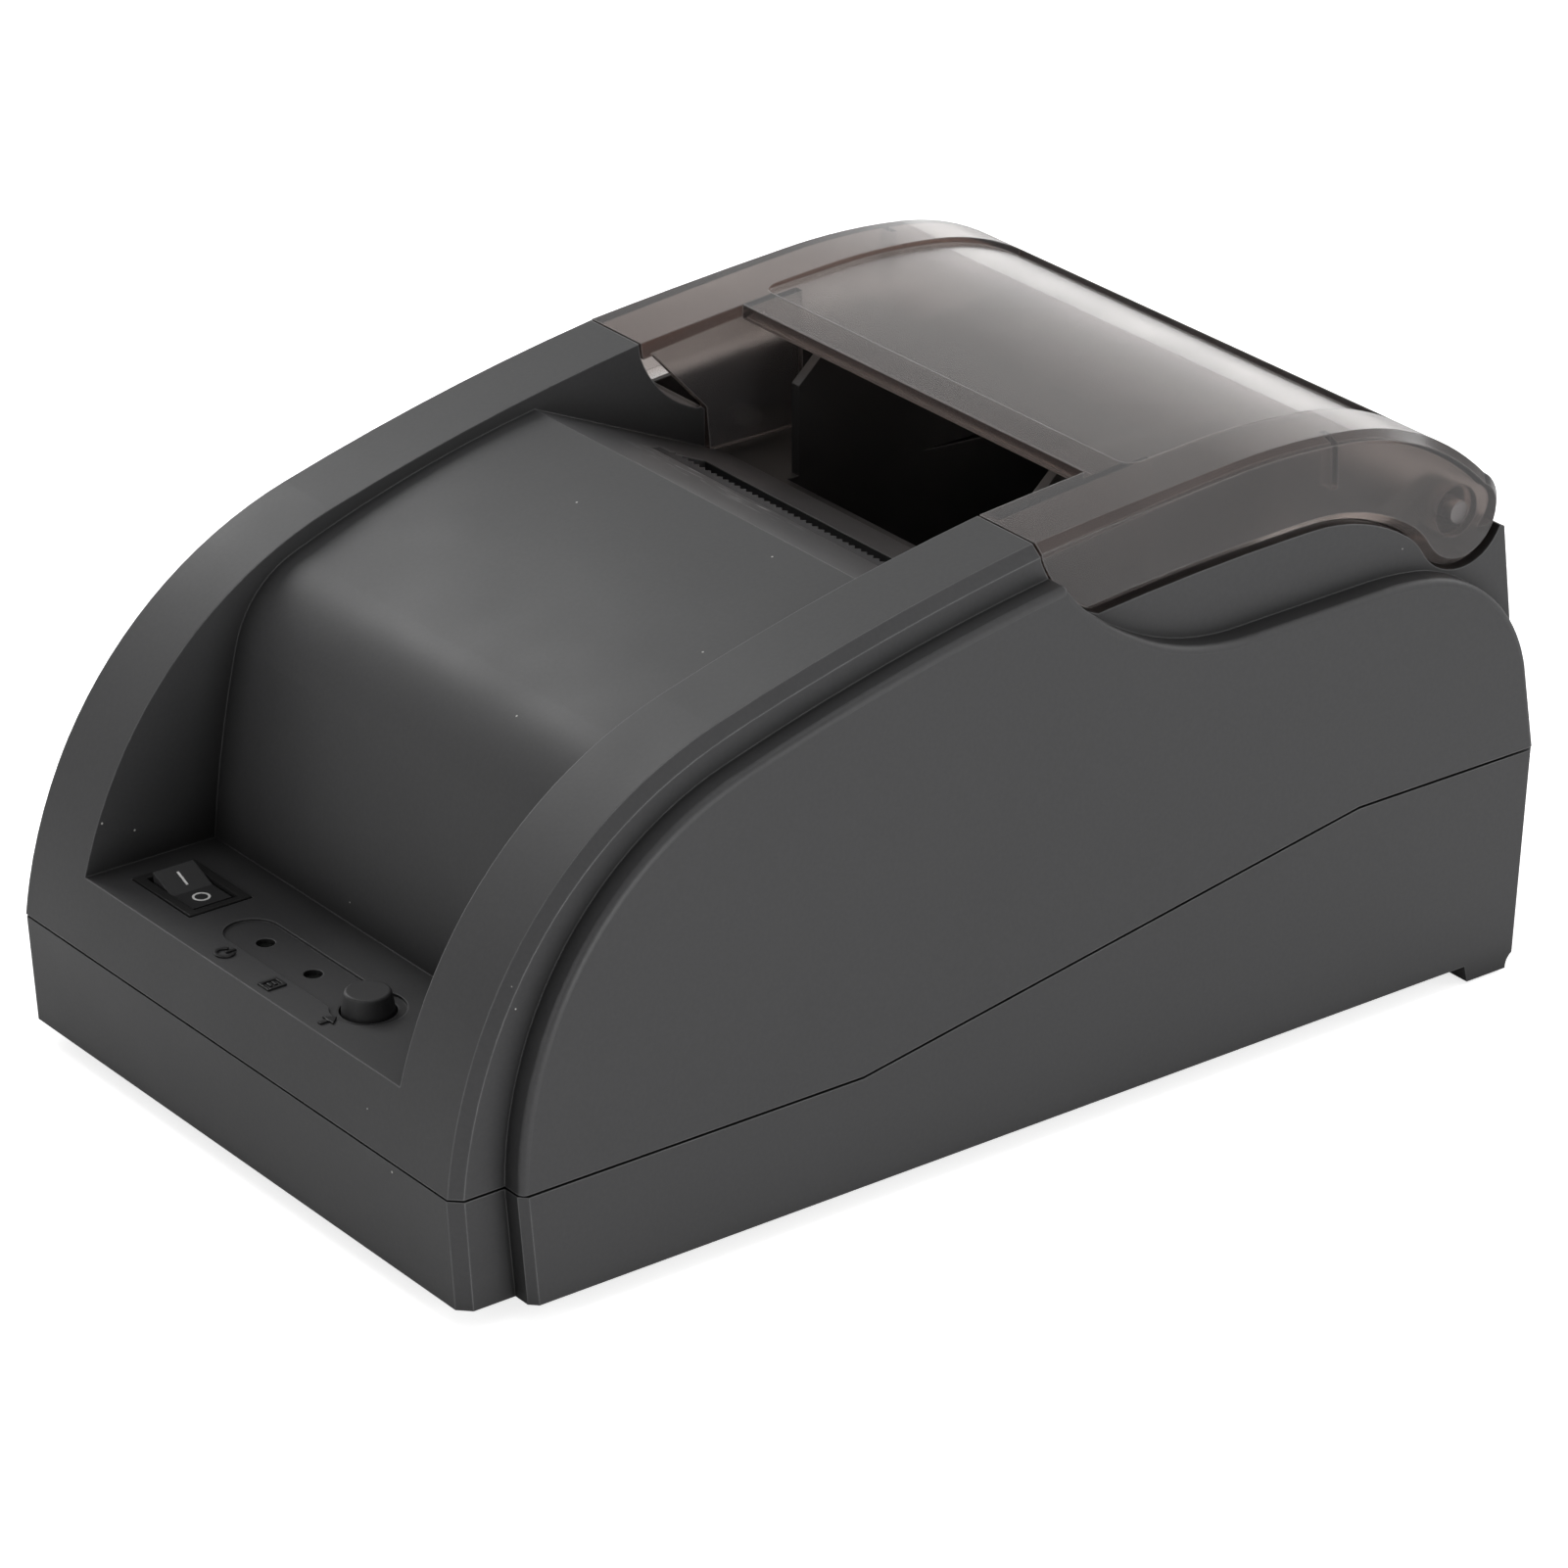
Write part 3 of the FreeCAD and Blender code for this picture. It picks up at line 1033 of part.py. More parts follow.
# ---------------------------------------------------------------- electronics
def electronics():
    """Main board, its sockets at the back, and the ribbons to head, motor and panel."""
    half, top = S["board_half"], S["board_z"] + S["board_thick"]
    board = box(-half, half, S["board_front_y"], S["board_back_y"], S["board_z"], top)
    holes, screws = [], []
    for x in (half - 4, -half + 4):
        for y in (S["board_front_y"] + 4, S["board_back_y"] - 20):
            holes.append(rod("z", x, y, S["board_z"] - 1, S["screw_rad"], 5))
            head = cut(rod("z", x, y, top, 2.5, 1.6), slot_cross(x, y, top + 0.5, 1.5))
            screws.append(fuse(head, rod("z", x, y, top - 4.6, 1.05, 4.6)))
    node("main_board", cut(board, *holes))
    node("board_screws", group(*screws))
    back = S["socket_y"]

    x = S["usb_x"]
    shell = box(x - 6, x + 6, back - 16, back, top, top + 10.9)
    mouth = [(x - 4.2, top + 1.6), (x + 4.2, top + 1.6), (x + 4.2, top + 7.4),
             (x + 2.6, top + 9.3), (x - 2.6, top + 9.3), (x - 4.2, top + 7.4)]
    hollow = push(outline(mouth), "y", back - 10, back + 1)
    tongue = box(x - 2.8, x + 2.8, back - 10.01, back - 1.5, top + 3.9, top + 7.0)
    node("usb_socket", fuse(cut(shell, hollow), tongue))

    x = S["drawer_x"]
    shell = box(x - 6.6, x + 6.6, back - 15.5, back, top, top + 13.2)
    hollow = box(x - 4.9, x + 4.9, back - 11, back + 1, top + 3.4, top + 10.4)
    latch = box(x - 2.2, x + 2.2, back - 11, back + 1, top + 1.2, top + 3.5)
    node("drawer_socket", cut(shell, hollow, latch))

    x = S["power_x"]
    mid = top + 6.2
    shell = box(x - 4.7, x + 4.7, back - 14, back, top, top + 11.0)
    barrel = rod("y", x, back - 10.5, mid, 3.1, 12)
    pin = rod("y", x, back - 10.51, mid, 1.0, 9.0)
    node("power_socket", fuse(cut(shell, barrel), pin))

    chip = box(-8, 8, 38, 54, top, top + 1.6)
    driver = box(14, 24, 30, 40, top, top + 1.8)
    node("board_chips", group(chip, driver))
    cans = [rod("z", x, 74, top, 4.0, 6.0) for x in (16, 28)]
    node("board_capacitors", group(*cans))
    node("buzzer", cut(rod("z", -26, 66, top, 5.5, 5.5), rod("z", -26, 66, top + 4, 1.0, 3)))
    plug = [box(-12.5, 12.5, 16, 20, top, top + 3.4), box(-22, -14, 12.5, 17.5, top, top + 4.0),
            box(-40, -34, 11, 15.5, top, top + 4.0), box(17, 25, 16, 21, top, top + 4.0)]
    node("board_connectors", group(*plug))

    face = S["platen_y"] - S["platen_rad"] - 0.3
    node("head_ribbon", strip([
        (face - 0.5, S["platen_z"] - 9.0), (face - 0.5, 38.0), (face + 1.6, 31.0),
        (face + 9.0, 25.0), (18.0, 20.0), (18.0, top + 3.4)], 0.5, -11, 11))
    cy = S["control_y"]
    node("panel_ribbon", strip([
        (cy - 4, S["panel_board_z"]), (cy - 4, 14.0), (cy - 2, 9.0), (cy + 3, 7.2),
        (-20, 7.2), (0.0, 7.2), (5.0, 10.0), (9.0, 17.0), (12.5, 18.6), (15.0, 17.6),
        (15.0, top + 4.0)], 1.0, -21, -15))
    node("motor_ribbon", strip([
        (S["motor_y"], S["motor_z"] - S["motor_rad"] - 1.6), (S["motor_y"], 40.0),
        (S["motor_y"] + 4, 30.0), (S["motor_y"] + 18, 21.0), (10.0, 20.0), (17.0, 20.6),
        (18.5, 19.6), (18.5, top + 4.0)], 1.0, 18, 24))
    rx, ry, low = S["rocker_x"], S["rocker_y"], S["shelf_z"] - 19.5
    node("switch_leads", strip([
        (ry, low), (ry, 9.6), (ry + 3, 7.4), (ry + 8, 7.2), (-20.0, 7.2), (2.0, 7.2),
        (4.6, 9.4), (4.6, 14.0), (6.5, 17.4), (10.0, 18.4), (13.2, 17.4), (13.2, top + 4.0)],
        1.2, rx - 5.6 - 2.3, rx - 5.6 + 1.2))


# ---------------------------------------------------------------- check and write
def finish():
    """Recompute, refuse bad shapes, and write one file for each node."""
    doc.recompute()
    bad = [o.Name + " " + o.Label for o in doc.Objects if "Invalid" in o.State or "Error" in o.State]
    if bad:
        raise RuntimeError("objects failed: " + ", ".join(bad))
    os.makedirs("parts", exist_ok=True)
    for name, obj in nodes.items():
        shape = obj.Shape
        if shape.isNull() or not shape.isValid():
            raise RuntimeError("bad shape: " + name)
        shape.exportStep("parts/%s.step" % name)
        print(name, len(shape.Solids), "solids, %.2f cm3" % (shape.Volume / 1000))


upper_case()
lower_case()
feet_and_case_screws()
tear_bar()
paper_cover()
hinge_pins()
paper_bucket()
mechanism()
operator_panel()
electronics()
finish()
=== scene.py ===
"""Looks of the receipt printer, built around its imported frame. Lengths are in metres."""
import json
import math

import bpy
from mathutils import Matrix, Vector


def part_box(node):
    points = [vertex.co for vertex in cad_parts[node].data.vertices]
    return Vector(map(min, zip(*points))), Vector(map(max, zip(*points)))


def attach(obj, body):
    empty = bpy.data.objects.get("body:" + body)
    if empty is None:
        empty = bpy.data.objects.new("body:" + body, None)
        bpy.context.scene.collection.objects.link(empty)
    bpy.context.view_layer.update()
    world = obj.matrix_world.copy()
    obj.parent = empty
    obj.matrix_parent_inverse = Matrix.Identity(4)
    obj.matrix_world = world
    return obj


MM = 0.001
ROCKER_LEAN = math.radians(22.0)   # angle between the two faces of the rocker
ROCKER_FACE = 2.3 * MM             # height of the pressed face above the rocker's pivot
MARK_LIFT = 0.01 * MM              # printed marks stand this far off the face
MARK_THICK = 0.03 * MM
SYMBOL_SINK = 0.02 * MM            # moulded symbols reach this far into the shelf
SYMBOL_HIGH = 0.3 * MM
SYMBOL_LINE = 0.5 * MM
SYMBOL_BEFORE = 7.6 * MM           # from the middle of the button to the row of symbols
BEZEL_HIGH = 0.3 * MM              # the switch's bezel stands this far above the shelf
ROOM_LIGHT = 0.34                  # strength of the room as a light
FLOOR_GLOW = 0.72                  # what the floor adds of its own, only as the camera sees it
LAMP_SIZE = 0.7                    # side of every square lamp
LAMP_TARGET = Vector((0.0, 0.0, 0.05))

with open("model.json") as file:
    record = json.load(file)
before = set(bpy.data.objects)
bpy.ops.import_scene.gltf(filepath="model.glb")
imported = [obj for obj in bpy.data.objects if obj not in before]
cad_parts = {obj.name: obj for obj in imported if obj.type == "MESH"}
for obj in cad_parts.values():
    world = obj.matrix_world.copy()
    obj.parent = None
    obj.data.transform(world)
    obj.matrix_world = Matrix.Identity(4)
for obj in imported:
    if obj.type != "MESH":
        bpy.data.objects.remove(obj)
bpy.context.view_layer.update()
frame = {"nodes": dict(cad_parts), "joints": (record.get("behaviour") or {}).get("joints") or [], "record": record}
scene = bpy.context.scene
node_objects = frame["nodes"]


# ---------------------------------------------------------------- camera
def make_camera():
    """The view from the front right and above."""
    right = Vector((0.60236, 0.79822, 0.0))
    up = Vector((-0.34303, 0.25886, 0.90294))
    back = right.cross(up)
    camera = bpy.data.cameras.new("camera")
    camera.lens = 159.81
    camera.sensor_width = 36.0
    camera.clip_end = 20.0
    thing = bpy.data.objects.new("camera", camera)
    turn = Matrix((right, up, back)).transposed().to_4x4()
    thing.matrix_world = Matrix.Translation(Vector((0.82059, -0.61749, 0.52725))) @ turn
    scene.collection.objects.link(thing)
    scene.camera = thing


# ---------------------------------------------------------------- light, floor
def make_world():
    """A white room: pure white behind the object, softer as a light."""
    world = bpy.data.worlds.new("room")
    scene.world = world
    world.use_nodes = True
    tree = world.node_tree
    tree.nodes.clear()
    seen = tree.nodes.new("ShaderNodeBackground")
    seen.inputs["Color"].default_value = (1.0, 1.0, 1.0, 1.0)
    seen.inputs["Strength"].default_value = 1.0
    lit = tree.nodes.new("ShaderNodeBackground")
    lit.inputs["Color"].default_value = (1.0, 0.995, 0.99, 1.0)
    lit.inputs["Strength"].default_value = ROOM_LIGHT
    path = tree.nodes.new("ShaderNodeLightPath")
    through = tree.nodes.new("ShaderNodeMath")
    through.operation = "MAXIMUM"
    tree.links.new(path.outputs["Is Camera Ray"], through.inputs[0])
    tree.links.new(path.outputs["Is Transmission Ray"], through.inputs[1])
    mix = tree.nodes.new("ShaderNodeMixShader")
    tree.links.new(through.outputs[0], mix.inputs["Fac"])
    tree.links.new(lit.outputs[0], mix.inputs[1])
    tree.links.new(seen.outputs[0], mix.inputs[2])
    out = tree.nodes.new("ShaderNodeOutputWorld")
    tree.links.new(mix.outputs[0], out.inputs["Surface"])


def area_light(name, place, power):
    """A large soft light that looks at the middle of the object."""
    lamp = bpy.data.lights.new(name, "AREA")
    lamp.shape = "SQUARE"
    lamp.size = LAMP_SIZE
    lamp.energy = power
    thing = bpy.data.objects.new(name, lamp)
    thing.location = place
    away = Vector(place) - LAMP_TARGET
    thing.rotation_euler = away.to_track_quat("Z", "Y").to_euler()
    scene.collection.objects.link(thing)


def make_lights():
    """Soft light mostly from the left, from behind and low on the right."""
    area_light("left", (-1.4, 0.0, 1.0), 8.3)
    area_light("left_low", (-1.6, -0.3, 0.35), 3.0)
    area_light("back_left", (-1.2, 1.1, 0.55), 1.3)
    area_light("horizon", (-1.25, 1.3, 0.12), 3.0)
    area_light("back", (0.0, 1.5, 0.9), 8.0)
    area_light("top", (0.0, 0.0, 1.6), 3.0)
    area_light("front", (0.1, -1.6, 0.6), 3.2)
    area_light("right_low", (1.6, 0.0, 0.3), 10.5)
    area_light("back_right", (1.0, 1.2, 0.8), 2.8)


def make_floor():
    """A white floor, far wider than the object, which glows a little for the camera alone."""
    mesh = bpy.data.meshes.new("floor")
    reach = 6.0
    corners = [(-reach, -reach, 0), (reach, -reach, 0), (reach, reach, 0), (-reach, reach, 0)]
    mesh.from_pydata(corners, [], [(0, 1, 2, 3)])
    floor = bpy.data.objects.new("floor", mesh)
    scene.collection.objects.link(floor)
    mat = bpy.data.materials.new("floor")
    mat.use_nodes = True
    tree = mat.node_tree
    shader = tree.nodes["Principled BSDF"]
    shader.inputs["Base Color"].default_value = (0.93, 0.93, 0.93, 1.0)
    shader.inputs["Roughness"].default_value = 0.9
    shader.inputs["Specular IOR Level"].default_value = 0.1
    shader.inputs["Emission Color"].default_value = (1.0, 1.0, 1.0, 1.0)
    path = tree.nodes.new("ShaderNodeLightPath")
    glow = tree.nodes.new("ShaderNodeMath")
    glow.operation = "MULTIPLY"
    glow.inputs[1].default_value = FLOOR_GLOW
    tree.links.new(path.outputs["Is Camera Ray"], glow.inputs[0])
    tree.links.new(glow.outputs[0], shader.inputs["Emission Strength"])
    mesh.materials.append(mat)


# ---------------------------------------------------------------- material helpers
class Paint:
    """A node material with a Principled shader, and short ways to add to it."""

    def __init__(self, name, color, roughness, **sockets):
        self.mat = bpy.data.materials.new(name)
        self.mat.use_nodes = True
        self.tree = self.mat.node_tree
        self.shader = self.tree.nodes["Principled BSDF"]
        self.out = self.tree.nodes["Material Output"]
        self.set("Base Color", (*color, 1.0))
        self.set("Roughness", roughness)
        for key, value in sockets.items():
            self.set(key.replace("_", " "), value)
        self.where = self.add("ShaderNodeTexCoord").outputs["Object"]
        self.normal = None

    def set(self, socket, value):
        """Give an input of the Principled shader a value or a link."""
        if isinstance(value, bpy.types.NodeSocket):
            self.tree.links.new(value, self.shader.inputs[socket])
        else:
            self.shader.inputs[socket].default_value = value

    def add(self, kind, options=None, **sockets):
        """A new node; options are its own settings, sockets are its inputs by name or number."""
        item = self.tree.nodes.new(kind)
        for key, value in (options or {}).items():
            setattr(item, key, value)
        for key, value in sockets.items():
            name = int(key[1:]) if key[0] == "i" and key[1:].isdigit() else key.replace("_", " ")
            if isinstance(value, bpy.types.NodeSocket):
                self.tree.links.new(value, item.inputs[name])
            else:
                item.inputs[name].default_value = value
        return item

    def math(self, operation, a, b):
        """Two numbers or sockets put together."""
        return self.add("ShaderNodeMath", {"operation": operation}, i0=a, i1=b).outputs[0]

    def noise(self, size, detail, stretch=None):
        """Noise with features of about the given size in metres."""
        where = self.where
        if stretch:
            where = self.add("ShaderNodeMapping", Vector=where, Scale=stretch).outputs[0]
        item = self.add("ShaderNodeTexNoise", Vector=where, Scale=1.0 / size, Detail=detail)
        return item.outputs["Fac"]

    def ramp(self, value, low, high, out_low=0.0, out_high=1.0):
        """A value carried from one range to another, held at its ends."""
        item = self.add("ShaderNodeMapRange", Value=value, From_Min=low, From_Max=high,
                        To_Min=out_low, To_Max=out_high)
        return item.outputs["Result"]

    def blend(self, fac, color_a, color_b):
        """A colour between two, which may be sockets."""
        item = self.add("ShaderNodeMix", {"data_type": "RGBA"})
        fac_in, a_in, b_in = item.inputs[0], item.inputs[6], item.inputs[7]
        self.tree.links.new(fac, fac_in)
        for socket, value in ((a_in, color_a), (b_in, color_b)):
            if isinstance(value, bpy.types.NodeSocket):
                self.tree.links.new(value, socket)
            else:
                socket.default_value = (*value, 1.0)
        return item.outputs[2]

    def soft_edges(self, radius):
        """Rounded edges in the shading."""
        self.normal = self.add("ShaderNodeBevel", {"samples": 6}, Radius=radius).outputs["Normal"]
        self.set("Normal", self.normal)

    def bump(self, height, depth, strength):
        """Raise the surface by up to depth metres."""
        item = self.add("ShaderNodeBump", Height=height, Distance=depth, Strength=strength)
        if self.normal is not None:
            self.tree.links.new(self.normal, item.inputs["Normal"])
        self.normal = item.outputs["Normal"]
        self.set("Normal", self.normal)

    def crevice(self, reach, low, high):
        """0 deep in a gap or an inner corner, 1 out in the open."""
        item = self.add("ShaderNodeAmbientOcclusion", {"samples": 8}, Distance=reach)
        return self.ramp(item.outputs["AO"], low, high)

    def rounded_edge(self, low, high):
        """1 on a rounded edge, 0 on a face."""
        face = self.add("ShaderNodeNewGeometry").outputs["Normal"]
        dot = self.add("ShaderNodeVectorMath", {"operation": "DOT_PRODUCT"},
                       i0=self.normal, i1=face)
        return self.ramp(dot.outputs["Value"], 1.0 - low, 1.0 - high)

    def window(self, axis, low, high, soft):
        """1 where an object coordinate lies between two values, fading over a soft margin."""
        split = self.add("ShaderNodeSeparateXYZ", Vector=self.where)
        place = split.outputs[axis]
        rise = self.ramp(place, low - soft, low + soft)
        return self.math("MULTIPLY", rise, self.ramp(place, high + soft, high - soft))

    def specks(self, cell, radius, share):
        """Sparse round specks: 1 on a speck, 0 elsewhere."""
        voronoi = self.add("ShaderNodeTexVoronoi", Vector=self.where, Scale=1.0 / cell)
        near = self.math("LESS_THAN", voronoi.outputs["Distance"], radius / cell)
        pick = self.add("ShaderNodeSeparateColor", Color=voronoi.outputs["Color"]).outputs[0]
        return self.math("MULTIPLY", near, self.math("LESS_THAN", pick, share))


# ---------------------------------------------------------------- materials
def case_plastic():
    """Dark grey ABS: fine moulded texture, painted shade in crevices and deep hollows, painted highlight on
    rounded edges, dust and rub marks.
    """
    paint = Paint("case_plastic", (0.038, 0.038, 0.039), 0.5)
    cloud = paint.noise(0.035, 3.0)
    fine = paint.noise(0.0007, 2.0)
    paint.soft_edges(0.32 * MM)
    tone = paint.blend(cloud, (0.034, 0.034, 0.0355), (0.042, 0.042, 0.0435))
    tone = paint.blend(paint.ramp(fine, 0.35, 0.7, 0.0, 0.2), tone, (0.06, 0.06, 0.062))
    # Painted shade: the colour goes near-black in gaps and inner corners, within 9 mm.
    clear_of_painted_shade = paint.crevice(9 * MM, 0.36, 0.88)
    tone = paint.blend(clear_of_painted_shade, (0.006, 0.006, 0.006), tone)
    # Painted shade: darker still deep in the wells and hollows, within 34 mm.
    painted_deep_shade = paint.ramp(paint.crevice(34 * MM, 0.2, 0.72), 0.0, 1.0, 0.62, 0.0)
    tone = paint.blend(painted_deep_shade, tone, (0.006, 0.006, 0.006))
    # Painted highlight: a paler colour along rounded edges out in the open, its strength varied by noise.
    painted_edge_highlight = paint.math("MULTIPLY", paint.rounded_edge(0.002, 0.035), clear_of_painted_shade)
    painted_edge_highlight = paint.math("MULTIPLY", painted_edge_highlight, paint.ramp(paint.noise(0.006, 3.0), 0.3, 0.6, 0.55, 0.95))
    tone = paint.blend(painted_edge_highlight, tone, (0.13, 0.13, 0.133))
    dust = paint.specks(0.0075, 0.00019, 0.4)
    tone = paint.blend(dust, tone, (0.5, 0.5, 0.48))
    rub = paint.ramp(paint.noise(0.006, 4.0, stretch=(1.0, 8.0, 8.0)), 0.55, 0.66)
    near_slot = paint.math("MULTIPLY", paint.window("Y", -0.006, 0.004, 0.002),
                           paint.window("X", -0.030, 0.008, 0.008))
    near_slot = paint.math("MULTIPLY", near_slot, paint.window("Z", 0.082, 0.094, 0.001))
    rub = paint.math("MULTIPLY", paint.math("MULTIPLY", rub, near_slot), 0.75)
    tone = paint.blend(rub, tone, (0.3, 0.3, 0.3))
    paint.set("Base Color", tone)
    paint.set("Roughness", paint.ramp(cloud, 0.3, 0.7, 0.45, 0.55))
    paint.bump(paint.noise(0.00045, 1.0), 0.012 * MM, 0.6)
    return paint.mat


def smoked_plastic():
    """Smoked, brownish see-through plastic: it dims what is behind it and scatters a little, with a painted
    highlight on its rims.
    """
    paint = Paint("smoked_plastic", (1.0, 1.0, 1.0), 0.22)
    paint.set("Transmission Weight", 1.0)
    paint.set("IOR", 1.45)
    cloud = paint.noise(0.02, 3.0)
    paint.set("Roughness", paint.ramp(cloud, 0.3, 0.7, 0.19, 0.25))
    paint.bump(paint.noise(0.009, 2.0), 0.02 * MM, 0.5)
    # The rounded normal is for the painted rim highlight and the scattering layer; the clear layer keeps the
    # bumped one.
    bumped = paint.normal
    paint.soft_edges(0.4 * MM)
    # Painted highlight on the rims: the scattering layer is paler there (tone) and weighs more (veil).
    edge = paint.rounded_edge(0.003, 0.06)
    paint.set("Normal", bumped)
    tone = paint.blend(edge, (0.135, 0.135, 0.14), (0.26, 0.255, 0.25))
    haze = paint.add("ShaderNodeBsdfPrincipled", Roughness=0.36, Normal=paint.normal,
                     Base_Color=tone)
    veil = paint.ramp(cloud, 0.3, 0.7, 0.25, 0.31)
    veil = paint.math("ADD", veil, paint.math("MULTIPLY", edge, 0.35))
    body = paint.add("ShaderNodeMixShader", Fac=veil)
    paint.tree.links.new(paint.shader.outputs[0], body.inputs[1])
    paint.tree.links.new(haze.outputs[0], body.inputs[2])
    clear = paint.add("ShaderNodeBsdfTransparent", Color=(0.46, 0.42, 0.4, 1.0))
    path = paint.add("ShaderNodeLightPath")
    mix = paint.add("ShaderNodeMixShader", Fac=path.outputs["Is Shadow Ray"])
    paint.tree.links.new(body.outputs[0], mix.inputs[1])
    paint.tree.links.new(clear.outputs[0], mix.inputs[2])
    paint.tree.links.new(mix.outputs[0], paint.out.inputs["Surface"])
    depth = paint.add("ShaderNodeVolumeAbsorption", Color=(0.57, 0.43, 0.36, 1.0), Density=300.0)
    paint.tree.links.new(depth.outputs[0], paint.out.inputs["Volume"])
    return paint.mat


def plain_plastic(name, low, high, roughness):
    """Moulded plastic whose colour wanders a little between two tones."""
    paint = Paint(name, low, roughness)
    cloud = paint.noise(0.02, 3.0)
    paint.set("Base Color", paint.blend(cloud, low, high))
    paint.set("Roughness", paint.ramp(cloud, 0.3, 0.7, roughness - 0.05, roughness + 0.05))
    paint.soft_edges(0.25 * MM)
    paint.bump(paint.noise(0.0006, 1.0), 0.01 * MM, 0.5)
    return paint.mat


def rubber():
    """Matt black rubber with a dusty bloom."""
    paint = Paint("rubber", (0.022, 0.022, 0.022), 0.8)
    bloom = paint.ramp(paint.noise(0.004, 4.0), 0.5, 0.8)
    paint.set("Base Color", paint.blend(bloom, (0.02, 0.02, 0.02), (0.06, 0.06, 0.06)))
    paint.soft_edges(0.3 * MM)
    paint.bump(paint.noise(0.0005, 2.0), 0.02 * MM, 0.6)
    return paint.mat


def metal(name, color, roughness):
    """Metal with fine drawn streaks along one direction."""
    paint = Paint(name, color, roughness, Metallic=1.0)
    lines = paint.noise(0.002, 3.0, stretch=(1.0, 40.0, 40.0))
    cloud = paint.noise(0.01, 2.0)
    darker = tuple(c * 0.82 for c in color)
    paint.set("Base Color", paint.blend(cloud, color, darker))
    paint.set("Roughness", paint.ramp(lines, 0.3, 0.7, roughness - 0.07, roughness + 0.1))
    paint.soft_edges(0.15 * MM)
    paint.bump(lines, 0.004 * MM, 0.5)
    return paint.mat


def blackened_steel():
    """Oxide-black steel of the tear bar, brighter where the teeth are rubbed."""
    paint = Paint("blackened_steel", (0.03, 0.03, 0.032), 0.45, Metallic=0.6)
    lines = paint.noise(0.002, 3.0, stretch=(1.0, 30.0, 30.0))
    paint.soft_edges(0.12 * MM)
    tone = paint.blend(lines, (0.022, 0.022, 0.024), (0.045, 0.045, 0.047))
    paint.set("Base Color", paint.blend(paint.rounded_edge(0.01, 0.3), tone, (0.2, 0.2, 0.21)))
    paint.bump(lines, 0.003 * MM, 0.4)
    return paint.mat


def ceramic():
    """Glazed ceramic of the thermal head."""
    paint = Paint("ceramic", (0.8, 0.78, 0.72), 0.15)
    cloud = paint.noise(0.006, 3.0)
    paint.set("Base Color", paint.blend(cloud, (0.82, 0.8, 0.74), (0.74, 0.71, 0.64)))
    paint.soft_edges(0.1 * MM)
    paint.bump(paint.noise(0.001, 2.0), 0.003 * MM, 0.4)
    return paint.mat


def circuit_board():
    """Green solder mask over straight copper tracks."""
    paint = Paint("circuit_board", (0.01, 0.1, 0.04), 0.3)
    grid = paint.add("ShaderNodeTexBrick", Vector=paint.where, Scale=260.0, Mortar_Size=0.06)
    track = paint.ramp(grid.outputs["Fac"], 0.4, 0.6)
    patch = paint.ramp(paint.noise(0.012, 1.0), 0.48, 0.52)
    mask = paint.math("MULTIPLY", track, patch)
    paint.set("Base Color", paint.blend(mask, (0.008, 0.09, 0.035), (0.03, 0.2, 0.08)))
    paint.soft_edges(0.15 * MM)
    paint.bump(mask, 0.03 * MM, 0.6)
    return paint.mat


def lamp_lens():
    """The dark lens of an unlit lamp."""
    paint = Paint("lamp_lens", (0.008, 0.009, 0.008), 0.2)
    swirl = paint.noise(0.002, 2.0)
    paint.set("Base Color", paint.blend(swirl, (0.005, 0.006, 0.005), (0.014, 0.015, 0.014)))
    paint.soft_edges(0.2 * MM)
    paint.bump(swirl, 0.01 * MM, 0.3)
    return paint.mat


def ribbon():
    """Flat cable: parallel wires in a grey sheath."""
    paint = Paint("ribbon", (0.4, 0.4, 0.42), 0.5)
    wires = paint.add("ShaderNodeTexWave", {"bands_direction": "X"},
                      Vector=paint.where, Scale=160.0)
    paint.set("Base Color", paint.blend(wires.outputs["Fac"], (0.3, 0.3, 0.32), (0.5, 0.5, 0.52)))
    paint.soft_edges(0.1 * MM)
    paint.bump(wires.outputs["Fac"], 0.1 * MM, 0.7)
    return paint.mat


def white_ink():
    """Printed white marks."""
    paint = Paint("white_ink", (0.85, 0.85, 0.84), 0.45)
    fade = paint.noise(0.0012, 3.0)
    faded = paint.ramp(fade, 0.4, 0.8)
    paint.set("Base Color", paint.blend(faded, (0.88, 0.88, 0.87), (0.7, 0.7, 0.69)))
    paint.bump(fade, 0.004 * MM, 0.4)
    return paint.mat


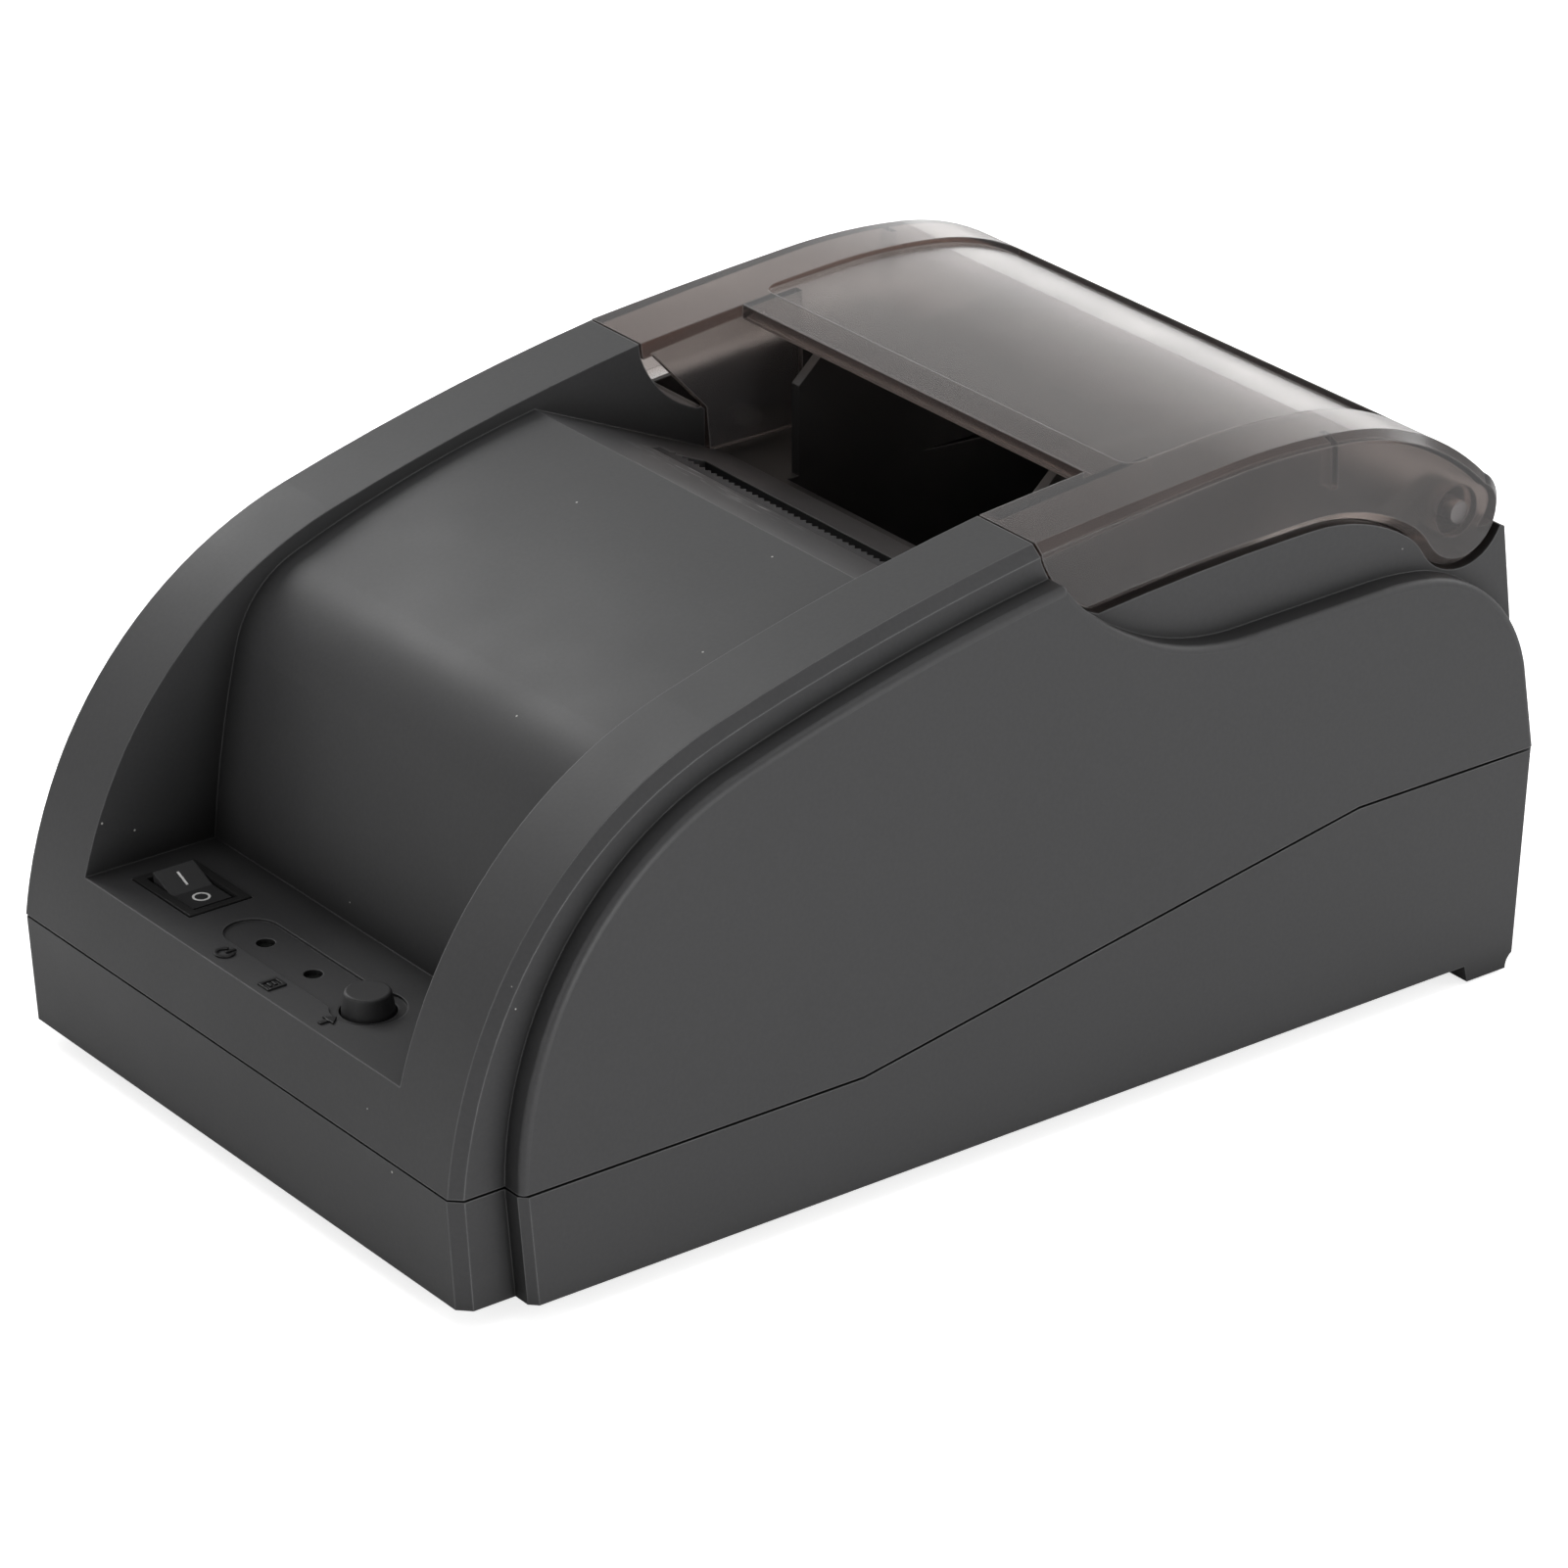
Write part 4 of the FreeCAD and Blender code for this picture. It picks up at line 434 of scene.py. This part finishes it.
def paint_nodes():
    """Give every CAD node the material of its slot; the tear bar has one of its own."""
    # Slot: the two tones between which the colour wanders, and the roughness.
    plastics = {
        "bucket_plastic": ((0.012, 0.012, 0.012), (0.018, 0.018, 0.018), 0.42),
        "button_plastic": ((0.022, 0.022, 0.023), (0.03, 0.03, 0.031), 0.5),
        "gear_plastic": ((0.72, 0.7, 0.64), (0.66, 0.64, 0.57), 0.4),
        "black_plastic": ((0.015, 0.015, 0.015), (0.025, 0.025, 0.025), 0.45),
        "connector_plastic": ((0.75, 0.72, 0.62), (0.68, 0.65, 0.55), 0.45),
    }
    slots = {name: plain_plastic(name, *look) for name, look in plastics.items()}
    slots.update({
        "case_plastic": case_plastic(),
        "smoked_plastic": smoked_plastic(),
        "rubber": rubber(),
        "steel": metal("steel", (0.6, 0.6, 0.62), 0.3),
        "aluminium": metal("aluminium", (0.72, 0.73, 0.74), 0.35),
        "ceramic": ceramic(),
        "circuit_board": circuit_board(),
        "lamp": lamp_lens(),
        "brass": metal("brass", (0.72, 0.5, 0.2), 0.28),
        "ribbon": ribbon(),
        "tear_bar": blackened_steel(),
    })
    for entry in frame["record"]["subparts"]:
        thing = node_objects[entry["node"]]
        mat = slots.get(entry["node"], slots[entry["material_slot"]])
        for item in thing.material_slots:
            item.material = mat


# ---------------------------------------------------------------- pieces
def piece(name, vertices, faces, mat, body, slot):
    """A mesh piece that rides on a CAD body."""
    mesh = bpy.data.meshes.new(name)
    mesh.from_pydata(vertices, [], faces)
    mesh.materials.append(mat)
    thing = bpy.data.objects.new(name, mesh)
    scene.collection.objects.link(thing)
    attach(thing, body)


def slab(outline, origin, along, across, thick):
    """Vertices and faces of a flat plate: an outline in (along, across), raised by thick."""
    up = along.cross(across)
    count = len(outline)
    vertices = [origin + along * u + across * v for u, v in outline]
    vertices += [p + up * thick for p in vertices]
    faces = [tuple(range(count))[::-1], tuple(range(count, 2 * count))]
    faces += [(i, (i + 1) % count, count + (i + 1) % count, count + i) for i in range(count)]
    return vertices, faces


def ring(radius, stroke, origin, along, across, thick, start=0.0, stop=360.0, steps=48):
    """Vertices and faces of a flat ring, or of the part between two angles in degrees."""
    closed = stop - start >= 360.0
    up = along.cross(across)
    vertices, faces = [], []
    count = steps if closed else steps + 1
    for i in range(count):
        angle = math.radians(start + (stop - start) * i / steps)
        way = along * math.cos(angle) + across * math.sin(angle)
        for rad, high in ((radius - stroke / 2, 0), (radius + stroke / 2, 0),
                          (radius + stroke / 2, thick), (radius - stroke / 2, thick)):
            vertices.append(origin + way * rad + up * high)
    for i in range(steps):
        a, b = 4 * i, 4 * ((i + 1) % count)
        for k in range(4):
            faces.append((a + k, b + k, b + (k + 1) % 4, a + (k + 1) % 4))
    if not closed:
        last = 4 * steps
        faces += [(0, 1, 2, 3), (last + 3, last + 2, last + 1, last)]
    return vertices, faces


def bar(long_, wide):
    """The outline of a bar centred on its origin."""
    u, v = long_ / 2, wide / 2
    return [(-u, -v), (u, -v), (u, v), (-u, v)]


def rocker_marks(ink):
    """The I and O marks of the power switch, one on each of its two faces."""
    low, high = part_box("rocker_cap")
    fold_x = (low.x + high.x) / 2
    joint = next(j for j in frame["joints"] if j["name"] == "rocker_tilt")
    middle = Vector(joint["pos_m"])
    face = middle.z + ROCKER_FACE
    side = Vector((0.0, 1.0, 0.0))
    flat = Vector((1.0, 0.0, 0.0))
    o_at = Vector((fold_x + 2.7 * MM, middle.y, face + MARK_LIFT))
    vertices, faces = ring(1.3 * MM, 0.4 * MM, o_at, flat, side, MARK_THICK)
    piece("mark_o", vertices, faces, ink, "rocker", "button_plastic")
    slope = Vector((math.cos(ROCKER_LEAN), 0.0, -math.sin(ROCKER_LEAN)))
    i_at = Vector((fold_x, middle.y, face)) - slope * 3.0 * MM
    i_at += Vector((math.sin(ROCKER_LEAN), 0.0, math.cos(ROCKER_LEAN))) * MARK_LIFT
    vertices, faces = slab(bar(3.1 * MM, 0.42 * MM), i_at, slope, side, MARK_THICK)
    piece("mark_i", vertices, faces, ink, "rocker", "button_plastic")


def join(*parts):
    """Several lots of vertices and faces as one."""
    vertices, faces = [], []
    for some, others in parts:
        start = len(vertices)
        vertices += some
        faces += [tuple(start + i for i in face) for face in others]
    return vertices, faces


def shelf_symbols(mat):
    """Raised plain symbols in front of the lamps and the button: power, paper and feed."""
    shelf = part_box("rocker_body")[1].z - BEZEL_HIGH
    button_low, button_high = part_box("feed_button")
    lamps = [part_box(name) for name in ("power_lamp", "status_lamp")]
    along, across = Vector((1.0, 0.0, 0.0)), Vector((0.0, 1.0, 0.0))
    row = (button_low.y + button_high.y) / 2 - SYMBOL_BEFORE
    high, line = SYMBOL_HIGH, SYMBOL_LINE

    def spot(x, dx=0.0, dy=0.0):
        return Vector((x + dx * MM, row + dy * MM, shelf - SYMBOL_SINK))

    x = (lamps[0][0].x + lamps[0][1].x) / 2
    power = join(ring(1.45 * MM, line, spot(x), along, across, high, 125.0, 415.0, 32),
                 slab(bar(line, 1.8 * MM), spot(x, 0, 1.1), along, across, high))
    piece("symbol_power", *power, mat, "housing", "case_plastic")
    x = (lamps[1][0].x + lamps[1][1].x) / 2
    sheet = [slab(bar(3.0 * MM, line), spot(x, 0, dy), along, across, high) for dy in (-1.5, 1.5)]
    sheet += [slab(bar(line, 2.5 * MM), spot(x, dx, 0), along, across, high)
              for dx in (-1.25, 1.25)]
    sheet += [slab(bar(1.2 * MM, line), spot(x, 0, dy), along, across, high)
              for dy in (-0.45, 0.45)]
    piece("symbol_paper", *join(*sheet), mat, "housing", "case_plastic")
    x = (button_low.x + button_high.x) / 2
    head = [(-1.5 * MM, 0.1 * MM), (1.5 * MM, 0.1 * MM), (0.0, 1.8 * MM)]
    feed = join(slab(head, spot(x), along, across, high),
                slab(bar(1.6 * line, 1.6 * MM), spot(x, 0, -0.7), along, across, high))
    piece("symbol_feed", *feed, mat, "housing", "case_plastic")


scene.view_settings.view_transform = "Standard"
make_camera()
make_world()
make_lights()
make_floor()
paint_nodes()
rocker_marks(white_ink())
shelf_symbols(plain_plastic("symbol_plastic", (0.009, 0.009, 0.0095), (0.014, 0.014, 0.0145), 0.4))
